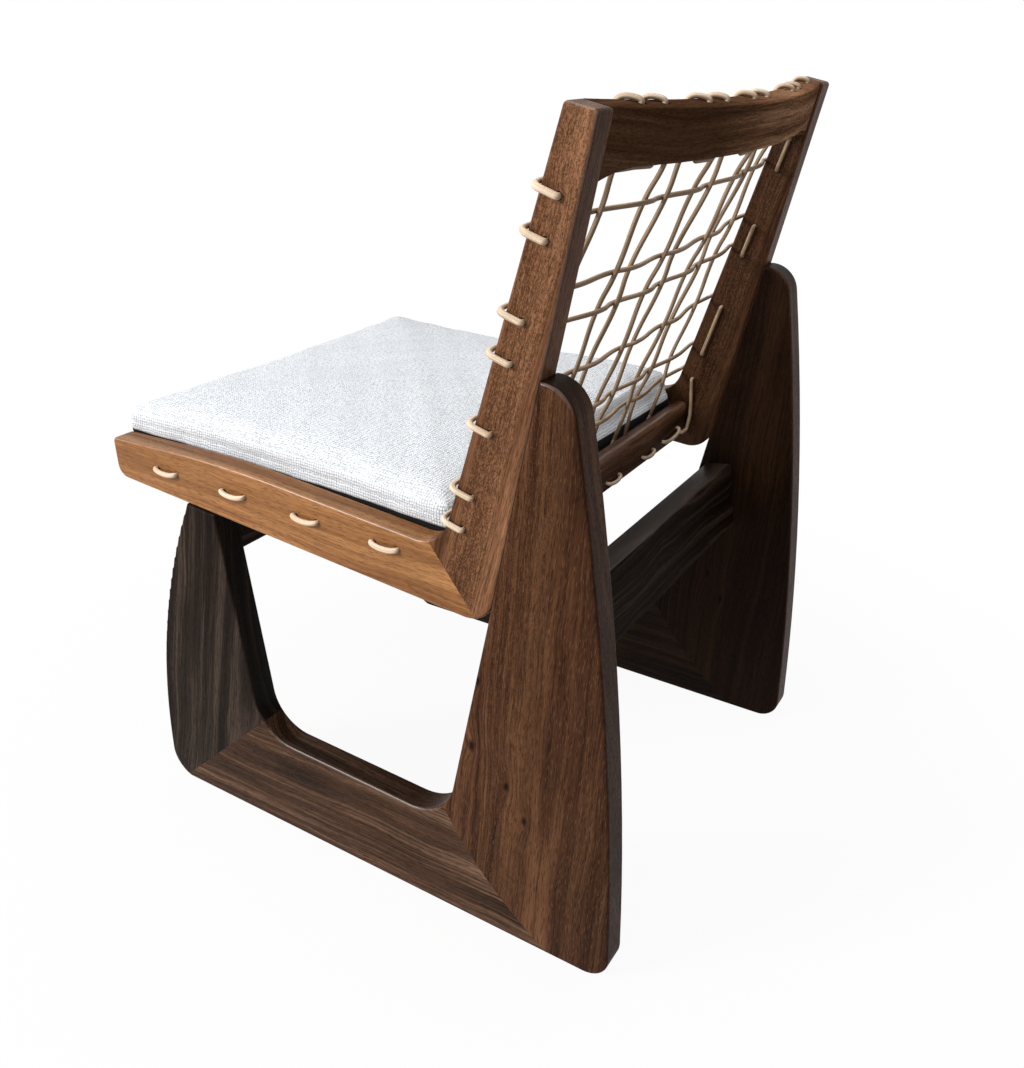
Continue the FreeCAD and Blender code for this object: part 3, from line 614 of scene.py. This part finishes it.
# %% Route of the upright cord
def upright_route():
    """Control points of the upright cord. Each run is listed upwards, and every other one is then
    taken backwards."""
    hole_z = lower_under + 0.0095
    link_z = lower_top - 0.004
    rows = list(range(len(cross_heights)))
    stops = [(place(upright_feet[0], lower_front - 0.012, link_z), None),
             (place(upright_feet[0], cord_front, link_z), tight)]
    for column in range(len(upright_tops)):
        top_x = upright_tops[column]
        through = rail_thickness - 0.0125
        hole_x = top_x - 0.014
        bottom = -0.0385 - 0.010 * through / rail_thickness - 0.0004
        run = [crossing(row, column, True) for row in rows[::-1]]
        run += [(rail_point(top_x - 0.003, rail_thickness + cord_off, -0.004), None),
                (rail_point(top_x - 0.006, rail_thickness - 0.0005, 0.0028), None),
                (rail_point(hole_x + 0.001, through + 0.001, 0.0031), None),
                (rail_point(hole_x, through, -0.004), 0.003),
                (rail_point(hole_x, through, bottom), tight)]
        if column % 2 == 0:
            stops.extend(run)
            continue
        stops.extend(run[::-1])
        foot = upright_feet[column]
        far = foot - 0.029
        stops += [(place(foot, cord_front, link_z), tight),
                  (place(foot, cord_front, hole_z), tight),
                  (place(foot, cord_rear, hole_z), (tight, None)),
                  (place(foot - 0.007, cord_rear - 0.001, hole_z - 0.0022), None),
                  (place(far + 0.009, cord_rear - 0.001, hole_z - 0.0030), None),
                  (place(far, cord_rear, hole_z), (None, tight)),
                  (place(far, cord_front, hole_z), tight),
                  (place(upright_feet[column + 1], cord_front, link_z), tight)]
    return stops


upright_stops = upright_route()
print("upright cord has", len(upright_stops), "control points")

# %% [markdown]
# The third cord carries the cushion. It is laced to and fro between the seat rails, and shows as
# short stitches on the outside of each.

# %% Route of the seat cord
def seat_route():
    """Control points of the seat cord. Each stitch on the outside of a rail hangs a little."""
    stops = []
    side = -1
    outer = outer_x + cord_off
    first = depth_half * 2 - 0.0645
    for stitch in range(4):
        for step in range(2):
            forward = first - stitch * 0.0945 - step * 0.029
            height = 0.4145 - (first - forward) * math.tan(math.radians(1.8))
            if step == 1 or stitch > 0:
                before = stops[-1][0]
                here = place(side * outer, forward, height)
                hang = np.array((side * 0.0014, 0, -0.0018))
                stops.append((before * 0.72 + here * 0.28 + hang, None))
                stops.append((before * 0.28 + here * 0.72 + hang, None))
            stops.append((place(side * outer, forward, height), (None, 0.0035)))
            stops.append((place(-side * outer, forward, height), (0.0035, None)))
            side = -side
    for index in (0, -1):
        stops[index][0][0] = math.copysign(outer_x, stops[index][0][0])
    return stops


seat_stops = seat_route()
print("seat cord has", len(seat_stops), "control points")

# %% [markdown]
# A cord under tension bends smoothly over what it crosses. Round elbows would look like bent wire,
# so the line is a NURBS curve, which stays inside the corners of its control points.

# %% The line of a cord
curve_steps = 7


def smooth_line(name, stops):
    """The points of an order 3 NURBS curve. A stop with a reach becomes three control points, so
    that the curve turns within that reach of it. A pair is the reach before it and after it, where
    None leaves that point out."""
    points = [point for point, reach in stops]
    controls = []
    for index, (point, reach) in enumerate(stops):
        if reach is None or index in (0, len(stops) - 1):
            controls.append(point)
            continue
        before, after = reach if isinstance(reach, tuple) else (reach, reach)
        if before is not None:
            back = points[index - 1] - point
            controls.append(point + back * min(before / np.linalg.norm(back), 0.45))
        controls.append(point)
        if after is not None:
            on = points[index + 1] - point
            controls.append(point + on * min(after / np.linalg.norm(on), 0.45))
    curve = bpy.data.curves.new(name + "_line", "CURVE")
    curve.dimensions = "3D"
    curve.resolution_u = curve_steps
    spline = curve.splines.new("NURBS")
    spline.points.add(len(controls) - 1)
    flat = np.ones((len(controls), 4))
    flat[:, :3] = controls
    spline.points.foreach_set("co", flat.ravel())
    spline.order_u = 3
    spline.use_endpoint_u = True
    holder = bpy.data.objects.new(name + "_line", curve)
    bpy.context.scene.collection.objects.link(holder)
    mesh = bpy.data.meshes.new_from_object(holder)
    line = np.empty(len(mesh.vertices) * 3)
    mesh.vertices.foreach_get("co", line)
    bpy.data.objects.remove(holder)
    bpy.data.curves.remove(curve)
    bpy.data.meshes.remove(mesh)
    return line.reshape(-1, 3)


# %% [markdown]
# A bevelled curve would have the same round section all along. Here a circle is carried along the
# line with a radius for each point, because cord is thinner where it is taut, and a little uneven in
# the stitches.

# %% A round cord along its line
cord_sides = 14
taut_radius = 0.00215
slack_radius = 0.0027


def tube_frames(line):
    """A direction, and two directions square to it, at each point of a line. The two are carried
    along without twisting, by turning them as little as the direction turns."""
    way = np.gradient(line, axis=0)
    way /= np.linalg.norm(way, axis=1, keepdims=True)
    first = np.empty_like(way)
    start = np.cross(way[0], (0.3, 0.5, 0.8))
    first[0] = start / np.linalg.norm(start)
    for index in range(1, len(way)):
        carried = first[index - 1] - way[index] * first[index - 1].dot(way[index])
        first[index] = carried / np.linalg.norm(carried)
    return way, first, np.cross(way, first)


def make_mesh(name, points, faces):
    """An object from an array of points and a list of faces."""
    mesh = bpy.data.meshes.new(name)
    mesh.from_pydata(points.tolist(), [], faces)
    mesh.validate()
    mesh.shade_smooth()
    thing = bpy.data.objects.new(name, mesh)
    bpy.context.scene.collection.objects.link(thing)
    return thing


def lay_out_cord(mesh, run, quad_count):
    """U is the distance along the cord in metres, and V the share of the way round. The last face
    of each ring closes it, so its far corners get 1 and not 0."""
    layer = mesh.uv_layers.new(name="UVMap")
    loops = np.empty(len(mesh.loops), int)
    mesh.loops.foreach_get("vertex_index", loops)
    around = (loops % cord_sides) / cord_sides
    wrap = np.zeros(len(loops))
    starts = np.arange(0, quad_count * 4, 4)
    closing = (loops[starts] % cord_sides) == cord_sides - 1
    for corner in (1, 2):
        wrap[starts[closing] + corner] = 1.0
    layer.data.foreach_set("uv", np.stack((run[loops // cord_sides], around + wrap), 1).ravel())


def cord_piece(name, stops, material, seed):
    """A circle carried along the line, a little oval. Where the cord is outside the boards, waves
    along it make its radius swell."""
    line = smooth_line(name, stops)
    keep = np.ones(len(line), bool)
    keep[1:] = np.linalg.norm(np.diff(line, axis=0), axis=1) > 1e-6
    line = line[keep]
    way, first, second = tube_frames(line)
    run = np.concatenate(([0.0], np.cumsum(np.linalg.norm(np.diff(line, axis=0), axis=1))))
    angle = np.linspace(0, 2 * np.pi, cord_sides, endpoint=False)
    swell = 1 + 0.025 * np.sin(run * 210 + seed) + 0.020 * np.sin(run * 87 + 2 * seed)
    oval = 1 + 0.04 * np.cos(2 * angle[None, :] + run[:, None] * 31 + seed)
    slack = np.clip((np.abs(line[:, 0]) - outer_x) / 0.002, 0, 1)
    radius = (taut_radius + (slack_radius - taut_radius) * slack * swell)[:, None] * oval
    ring = first[:, None] * np.cos(angle)[None, :, None] + second[:, None] * np.sin(angle)[None, :, None]
    points = (line[:, None] + ring * radius[:, :, None]).reshape(-1, 3)
    count = len(line)
    index = np.arange(count * cord_sides).reshape(count, cord_sides)
    nearer = index[:-1]
    further = index[1:]
    quads = np.stack((nearer, np.roll(nearer, -1, 1), np.roll(further, -1, 1), further), -1).reshape(-1, 4)
    ends = [index[0][::-1].tolist(), index[-1].tolist()]
    piece = make_mesh(name, points, quads.tolist() + ends)
    lay_out_cord(piece.data, run, len(quads))
    piece.data.materials.append(material)
    print(name, "length", round(float(run[-1]), 3), "m,", len(quads), "faces")
    return piece


# %% [markdown]
# Vegetable tanned cord is pale on its smooth side, with darker drawn lines along its length and a handled,
# slightly dirty look in places. In the back, between the boards, it gets painted shade, deeper on the
# upright cord, and everywhere its side that looks away from the key lamp gets painted shade too. The
# pattern follows the cord's own coordinates: the distance along it in metres and the share of the way
# round.

# %% Leather
leather_relief = 0.00015


def leather(name, back_shade_share):
    """Back shade share is the share of the colour that is left on the cord between the boards, where it
    gets painted shade.
    """
    paint = Paint(name)
    place_uv = paint.node("ShaderNodeTexCoord", output="UV")
    split = paint.tree.nodes.new("ShaderNodeSeparateXYZ")
    paint.connect(place_uv, split.inputs[0])
    along = Value(paint, split.outputs[0])
    turn = Value(paint, split.outputs[1]) * (2 * math.pi)
    ring_x = turn.cosine()
    ring_y = turn.sine()
    drawn = paint.noise(along * 30.0, ring_x * 2.4, ring_y * 2.4, 1.5)
    cloud = paint.noise(along * 22.0, ring_x * 0.8, ring_y * 0.8 + 7.0, 2.0)
    grain = paint.noise(along * 900.0, ring_x * 5.0, ring_y * 5.0, 1.0)
    fresh = paint.blend(drawn.step(0.35, 0.68), (0.66, 0.470, 0.310), (0.88, 0.720, 0.540))
    # Painted shade: a browner, darker copy of the cord's colours, used in the back between the boards.
    back_shade_tone = paint.blend(drawn.step(0.35, 0.68), darker((0.21, 0.132, 0.072), back_shade_share),
                       darker((0.50, 0.360, 0.225), back_shade_share))
    spot = paint.position()
    across = paint.dot(spot, (1, 0, 0)).abs()
    height_up = paint.dot(spot, (0, 0, 1))
    # Where the cord lies in the back, between the stiles and between the rails, which gets the painted
    # shade.
    in_back_shade = (1.0 - across.step(inner_x - 0.004, inner_x + 0.002)) * height_up.step(0.392, 0.41)
    in_back_shade = in_back_shade * (1.0 - height_up.step(0.742, 0.752))
    colour = paint.blend(in_back_shade, fresh, back_shade_tone)
    colour = paint.blend(cloud.step(0.50, 0.78) * 0.4, colour, (0.24, 0.14, 0.07))
    colour = paint.blend(grain.step(0.60, 0.80) * 0.08, colour, (0.22, 0.13, 0.065))
    # Painted shade on the side of the cord that looks away from the key lamp, deeper in the back.
    shade_side = paint.dot(paint.normal(), unit((-0.45, 0.55, -0.70))).step(-0.35, 0.40)
    colour = paint.blend(shade_side * (in_back_shade * 0.25 + 0.65), colour, (0.12, 0.064, 0.031))
    rough = (cloud - 0.5) * 0.25 + 0.50
    height = drawn * 0.7 + grain * 0.05
    return paint.surface(colour, rough, height, leather_relief, Specular_IOR_Level=0.3)


# %% [markdown]
# The same steps make all three cords. The upright cord's tone in the back, which is painted shade, is
# darker still, and each cord takes the place of its plain solid.

# %% Cords
for name, node, stops, back_shade_share, seed in (
        ("back_cross_lace", "back_cross_cord", cross_stops, 1.0, 0.7),
        ("back_upright_lace", "back_upright_cord", upright_stops, 0.74, 2.9),
        ("seat_lace", "seat_cord", seat_stops, 1.0, 4.3)):
    piece = cord_piece(name, stops, leather(name, back_shade_share), seed)
    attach(piece, "chair")
    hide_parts(node)

# %% [markdown]
# The cushion is a slab of foam in a tight cover. A crowned block with rounded edges comes first, and
# cloth simulation then blows its cover up a little, which makes the edges and corners soft.

# %% Size and place of the cushion
cushion_half_x = 0.2365
cushion_half_y = 0.2140
cushion_forward = 0.3995
cushion_edge = 0.0415
cushion_crown = 0.012
cushion_corner = 0.007
cushion_round = 0.007
cushion_draw = 0.002
cushion_swell = 0.002
cushion_rest_gap = 0.0003
seat_slope = math.radians(1.8)
seat_plane = 0.4170
seat_plane_forward = depth_half * 2 - 0.0645


def seat_height(y):
    """Height of the tops of the seat cords, which fall to the rear."""
    return seat_plane - (seat_plane_forward - depth_half + y) * math.tan(seat_slope)


print("the cushion lies at", round(seat_height(depth_half - cushion_forward), 4), "m")

# %% [markdown]
# A box with bevelled edges would be quicker, but its sides would stay straight. The blank's outline
# and profile are worked out instead, so that the sides draw in and the top rises.

# %% Cushion blank
def cushion_outline(arc_steps=8, side_steps=16):
    """Points round a rectangle with round corners, and the way out of it at each: for each corner a
    quarter circle about its centre, then the straight side to the next corner, drawn in by a
    parabola."""
    half = np.array((cushion_half_x, cushion_half_y)) - cushion_swell
    inner = half - cushion_corner
    turn = np.linspace(0, math.pi / 2, arc_steps)
    share = np.linspace(0, 1, side_steps + 2)[1:-1]
    points = []
    ways = []
    for quarter in range(4):
        start = quarter * math.pi / 2
        corner = np.array(((1, 1), (-1, 1), (-1, -1), (1, -1))[quarter]) * inner
        following = np.array(((-1, 1), (-1, -1), (1, -1), (1, 1))[quarter]) * inner
        arc_way = np.stack((np.cos(start + turn), np.sin(start + turn)), 1)
        points.append(corner + cushion_corner * arc_way)
        ways.append(arc_way)
        out = arc_way[-1]
        side = corner + cushion_corner * out + share[:, None] * (following - corner)
        points.append(side - out * (cushion_draw * 4 * share * (1 - share))[:, None])
        ways.append(np.tile(out, (side_steps, 1)))
    return np.concatenate(points), np.concatenate(ways)


def cushion_blank():
    """The outline is carried over a profile. Each station of the profile has a share of the way out
    from the middle, an inset from the outline, and a height: the bottom is flat, the edge is a
    rounded side, and the top is a parabola that rises to the crown."""
    outline, way = cushion_outline()
    lid = np.linspace(0.06, 1.0, 9)
    bend = np.linspace(-math.pi / 2, math.pi / 2, 11)[1:-1]
    side_half = cushion_edge / 2 - cushion_swell
    side_height = side_half * np.sign(np.sin(bend)) * np.abs(np.sin(bend)) ** 0.8
    lid_inset = np.full(len(lid), cushion_round)
    share = np.concatenate((lid, np.ones(len(bend)), lid[::-1]))
    inset = np.concatenate((lid_inset, cushion_round * (1 - np.cos(bend) ** 0.45), lid_inset))
    height = np.concatenate((np.full(len(lid), -side_half), side_height,
                             side_half + cushion_crown * (1 - lid[::-1] ** 2.4)))
    ring = (outline[None] - way[None] * inset[:, None, None]) * share[:, None, None]
    points = np.concatenate((ring, np.broadcast_to(height[:, None, None], ring.shape[:2] + (1,))), 2)
    rows, columns = ring.shape[:2]
    index = np.arange(rows * columns).reshape(rows, columns)
    quads = np.stack((index[:-1], np.roll(index[:-1], -1, 1), np.roll(index[1:], -1, 1), index[1:]), -1)
    faces = quads.reshape(-1, 4).tolist() + [index[0][::-1].tolist(), index[-1].tolist()]
    flat = points.reshape(-1, 3)
    middle_y = depth_half - cushion_forward
    lift = seat_height(middle_y) + cushion_edge / 2 + cushion_rest_gap
    placed = np.empty_like(flat)
    placed[:, 0] = flat[:, 0]
    placed[:, 1] = middle_y + flat[:, 1] * math.cos(seat_slope) + flat[:, 2] * math.sin(seat_slope)
    placed[:, 2] = lift - flat[:, 1] * math.sin(seat_slope) + flat[:, 2] * math.cos(seat_slope)
    return make_mesh("seat_cushion", placed, faces)


cushion = cushion_blank()
print("cushion's top before it is blown up:", round(float(cushion.bound_box[1][2]), 4), "m")

# %% [markdown]
# Cloth needs even faces, which a voxel remesh gives. A pressure from inside then swells the cover
# over 20 steps, without gravity, because the foam carries it.

# %% Cushion blown up by cloth simulation
voxel = 0.005
cloth_steps = 20


def mesh_vectors(mesh, attribute):
    """The places ("co") or the directions ("normal") of a mesh's points, one row each."""
    flat = np.empty(len(mesh.vertices) * 3)
    mesh.vertices.foreach_get(attribute, flat)
    return flat.reshape(-1, 3)


def set_points(mesh, points):
    mesh.vertices.foreach_set("co", points.ravel())
    mesh.update()


def bake_modifiers(thing):
    """Replaces a mesh by what its modifiers make of it, and clears them."""
    evaluated = thing.evaluated_get(bpy.context.evaluated_depsgraph_get())
    mesh = bpy.data.meshes.new_from_object(evaluated)
    thing.modifiers.clear()
    thing.data = mesh


remesh = cushion.modifiers.new("remesh", "REMESH")
remesh.mode = "VOXEL"
remesh.voxel_size = voxel
remesh.use_smooth_shade = True
bake_modifiers(cushion)
rest_points = mesh_vectors(cushion.data, "co")
rest_normals = mesh_vectors(cushion.data, "normal")
print("remeshed cushion has", len(rest_points), "points")

cloth = cushion.modifiers.new("cloth", "CLOTH")
cloth.settings.use_pressure = True
cloth.settings.uniform_pressure_force = 4.0
cloth.settings.effector_weights.gravity = 0.0
cloth.settings.quality = 5
cloth.settings.mass = 0.3
cloth.settings.tension_stiffness = 14.0
cloth.settings.compression_stiffness = 14.0
cloth.settings.shear_stiffness = 6.0
cloth.settings.bending_stiffness = 0.6
scene = bpy.context.scene
for step in range(1, cloth_steps + 1):
    scene.frame_set(step)
bake_modifiers(cushion)
scene.frame_set(1)

# %% [markdown]
# The cushion lies between the seat rails and bulges over them. Collision in the simulation would
# take long, so each point is held back afterwards: it moves no further than a cap, and stays above
# the seat cords and clear of the rails, stiles and lower back rail.

# %% Cushion kept to its room
swell_cap = 0.0065
sink_undone = 0.75
half_room = 0.2316
more_over_rails = 0.0072
rail_rise = 0.0240
stile_clear = 0.004
back_clear = 0.1840
low_edge_rise = 0.016
low_edge_set_back = 0.012
rear_start = 0.090
cord_clear = 0.0002

blown = mesh_vectors(cushion.data, "co")
move = blown - rest_points
sunk = np.minimum((move * rest_normals).sum(1, keepdims=True), 0)
move = move - sink_undone * sunk * rest_normals
size = np.linalg.norm(move, axis=1, keepdims=True)
print("cloth moved the cover by up to", round(float(size.max()) * 1000, 1), "mm")
blown = rest_points + move * np.minimum(1.0, swell_cap / np.maximum(size, 1e-9))
above_rail = np.clip((blown[:, 2] - seat_height(blown[:, 1]) - rail_rise) / 0.005, 0, 1)
off_stile = np.clip((depth_half - blown[:, 1] - stile_front(blown[:, 2]) - stile_clear) / 0.015, 0, 1)
room_x = half_room + more_over_rails * above_rail * off_stile
blown[:, 0] = np.clip(blown[:, 0], -room_x, room_x)
low_edge = np.clip((low_edge_rise - blown[:, 2] + seat_height(blown[:, 1])) / 0.008, 0, 1)
near_rear = np.clip((blown[:, 1] - rear_start) / 0.020, 0, 1)
set_back = low_edge_set_back * low_edge * near_rear
blown[:, 1] = np.minimum(blown[:, 1] + set_back, depth_half - back_clear)
floor_line = seat_height(blown[:, 1]) + cord_clear
blown[:, 2] = np.maximum(blown[:, 2], floor_line)
set_points(cushion.data, blown)
finer = cushion.modifiers.new("finer", "SUBSURF")
finer.levels = 1
finer.render_levels = 1
bake_modifiers(cushion)

# %% [markdown]
# A sewn seam runs round the side, near the top, where the top panel meets the border. The remesh
# would have erased it, so it is pressed in now, as a notch that only the upright faces get. Long
# waves make the faces a little uneven, and the bottom sags behind the last seat cord.

# %% Cushion seam
seam_rise = 0.0300
seam_half_width = 0.0030
seam_depth = 0.0016
lump_height = 0.0007
small_lump_height = 0.0004
sag_depth = 0.009
sag_start = 0.088
sag_reach = 0.020
sag_thickness = 0.012

points = mesh_vectors(cushion.data, "co")
normals = mesh_vectors(cushion.data, "normal")
rise = points[:, 2] - seat_height(points[:, 1])
notch = np.clip(1 - np.abs(rise - seam_rise) / seam_half_width, 0, 1) ** 1.5
level = 1 - np.abs(normals[:, 2])
x, y, z = points.T
lumps = lump_height * np.sin(x * 41 + 1) * np.sin(y * 37 + z * 90)
lumps += small_lump_height * np.sin(x * 97 + z * 130) * np.sin(y * 113 + 2)
points = points + normals * (lumps - seam_depth * notch * level)[:, None]
sag = sag_depth * np.clip((points[:, 1] - sag_start) / sag_reach, 0, 1)
points[:, 2] -= sag * np.clip((sag_thickness - rise) / sag_thickness, 0, 1)
points[:, 2] = np.maximum(points[:, 2], seat_height(points[:, 1]) - sag + cord_clear)
set_points(cushion.data, points)
cushion.data.shade_smooth()
print("cushion", len(cushion.data.polygons), "faces, top at", round(float(points[:, 2].max()), 4))

# %% [markdown]
# The cover is a coarse weave of thick white and pale grey yarns, which shows as rows of knobs, with
# painted shade in the troughs between them, deeper on the sides, and a little painted light on the top.
# The remesh left no UVs, so the weave is laid over the cushion from three sides, each used where the
# surface faces that way, and noise shifts its rows. The bottom, with the lowest strip of the sides, is
# painted near black: painted shadow under the cushion and in the gap above the rails.

# %% Cloth of the cushion
weave_pitch = 0.0028
weave_shift = 0.0030
seam_shade_half = 0.0014
shadow_band_rise = 0.0100
cloth_relief = 0.0009


def plain_weave(first, second):
    """The height of a coarse weave: two waves at right angles, with their troughs turned up and
    multiplied, make a grid of round knobs."""
    over = (first * (math.pi / weave_pitch)).sine().abs()
    return over * (second * (math.pi / weave_pitch)).sine().abs()


def cushion_cloth(name):
    paint = Paint(name)
    place_all = paint.position()
    x = paint.dot(place_all, (1, 0, 0))
    y = paint.dot(place_all, (0, 1, 0))
    z = paint.dot(place_all, (0, 0, 1))
    facing = paint.normal()
    top = paint.dot(facing, (0, 0, 1)).abs().step(0.55, 0.75)
    side = paint.dot(facing, (1, 0, 0)).abs().step(0.60, 0.80)
    rise = z + y * math.tan(seat_slope) - seat_height(0.0)
    wobble = (paint.noise(x * 120.0, y * 120.0, z * 120.0, 1.0) - 0.5) * weave_shift
    shift = (paint.noise(x * 110.0 + 5.0, y * 110.0, z * 110.0, 1.0) - 0.5) * weave_shift
    over = plain_weave(x + wobble, y + shift)
    from_side = plain_weave(y + wobble, rise + shift)
    from_front = plain_weave(x + wobble, rise + shift)
    weave = from_front * (1.0 - side) + from_side * side
    weave = weave * (1.0 - top) + over * top
    fleck = paint.noise(x * 430.0, y * 430.0, z * 430.0, 1.0)
    slub = paint.noise(x * 190.0, y * 520.0, z * 520.0 + 3.0, 1.0)
    cloud = paint.noise(x * 14.0, y * 14.0, z * 14.0, 2.0)
    level = top * 0.35 + 0.65
    # Painted shade: the troughs between the knobs are darker, more so on the sides than on the top, and
    # the top is painted lighter as a whole.
    shade = weave * (1.6 - top * 0.75) + ((fleck - 0.5) * 1.5 + (slub - 0.5) * 0.5) * level + top * 0.22
    colour = paint.blend(shade.step(0.05, 0.45), (0.44, 0.470, 0.515), (0.81, 0.840, 0.875))
    colour = paint.blend(shade.step(0.45, 0.90), colour, (0.92, 0.940, 0.960))
    colour = paint.blend(cloud.step(0.35, 0.75) * 0.10, colour, (0.62, 0.62, 0.65))
    # Painted shade: a darker line along the seam's groove.
    seam_shade = rise.peak(seam_rise, seam_shade_half) * (1.0 - top)
    colour = paint.blend(seam_shade * 0.35, colour, (0.25, 0.25, 0.26))
    # Painted shadow: the bottom and the lowest strip of the sides are near black, where the cushion meets
    # the rails.
    shadow_band = 1.0 - (rise - side * 0.0100).step(0.0085, shadow_band_rise)
    colour = paint.blend(shadow_band, colour, (0.015, 0.014, 0.014))
    height = weave * 0.5 + (fleck - 0.5) * 0.6 + (slub - 0.5) * 0.4
    return paint.surface(colour, 0.93, height, cloth_relief, Specular_IOR_Level=0.1)


cushion.data.materials.clear()
cushion.data.materials.append(cushion_cloth("seat_fabric"))
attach(cushion, "cushion")
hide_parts("cushion_cover", "cushion_core")
print("dressed the cushion, with", round(1 / weave_pitch), "rows of weave in a metre")

# %% [markdown]
# The room is a studio: a pale floor, a white background, and large soft lamps. Lamps bright enough
# to whiten the floor would bleach the chair too. So the floor glows, but only to the camera and to
# reflections, and puts no more light on the chair.

# %% Floor
floor_reach = 9.0
near_glow = 0.94
far_glow = 0.06


def seen_directly(paint):
    """1 for rays from the camera, reflections and glass, and 0 for those that carry light."""
    path = paint.tree.nodes.new("ShaderNodeLightPath")
    camera_ray, glossy_ray, clear_ray = (Value(paint, path.outputs[name]) for name in
                                         ("Is Camera Ray", "Is Glossy Ray", "Is Transmission Ray"))
    return camera_ray.most(glossy_ray).most(clear_ray)


floor_paint = Paint("floor")
floor_paint.surface((0.80, 0.80, 0.80, 1.0), 0.9)
spot = floor_paint.position()
away = (floor_paint.dot(spot, (1, 0, 0)) ** 2.0 + floor_paint.dot(spot, (0, 1, 0)) ** 2.0).root()
glow = floor_paint.node("ShaderNodeEmission", None, {"Color": (1, 1, 1, 1), "Strength": 1.0})
share = seen_directly(floor_paint) * (away.step(0.40, 0.9) * far_glow + near_glow)
mixed = floor_paint.node("ShaderNodeMixShader", None,
                         {0: share, 1: Value(floor_paint, floor_paint.shader.outputs[0]), 2: glow})
floor_paint.connect(mixed, floor_paint.tree.nodes["Material Output"].inputs["Surface"])
corners = np.array(((-1, -1, 0), (1, -1, 0), (1, 1, 0), (-1, 1, 0))) * floor_reach
floor = make_mesh("floor", corners, [(0, 1, 2, 3)])
floor.data.materials.append(floor_paint.material)
print("floor reaches", floor_reach, "m each way")

# %% [markdown]
# The world is a dim white that lights the chair from all round, and full white where the camera or
# a reflection looks straight at it.

# %% World
ambient = 0.32
world = bpy.data.worlds.new("studio")
world.use_nodes = True
bpy.context.scene.world = world


class Sky(Paint):
    """The world's node tree, with the same helpers."""

    def __init__(self, tree):
        self.tree = tree


sky = Sky(world.node_tree)
background = sky.tree.nodes["Background"]
background.inputs["Color"].default_value = (1, 1, 1, 1)
sky.connect(seen_directly(sky) * (1.0 - ambient) + ambient, background.inputs["Strength"])
print("the world gives", ambient, "of white")

# %% [markdown]
# Three square area lamps give soft shadows: the key from the chair's front left, a broad one
# overhead, and a weak fill from the camera's side. Sun or spot lamps would cast hard ones.

# %% Lamps
def lamp(name, spot, aim, size_m, watts):
    """A square area lamp that faces a point."""
    data = bpy.data.lights.new(name, "AREA")
    data.size = size_m
    data.energy = watts
    thing = bpy.data.objects.new(name, data)
    thing.location = spot
    thing.rotation_euler = (Vector(aim) - Vector(spot)).to_track_quat("-Z", "Y").to_euler()
    bpy.context.scene.collection.objects.link(thing)


chair_middle = (0.0, 0.0, 0.4)
lamp("key", (2.8, -2.0, 2.2), chair_middle, 1.0, 120.0)
lamp("overhead", (0.2, 0.1, 2.4), chair_middle, 1.6, 17.0)
lamp("fill", (1.4, 2.4, 1.6), chair_middle, 1.4, 6.0)
print("lit by 3 lamps")

# %% [markdown]
# Colours are shown as they are written, with no film look over them.

# %% View transform
bpy.context.scene.view_settings.view_transform = "Standard"
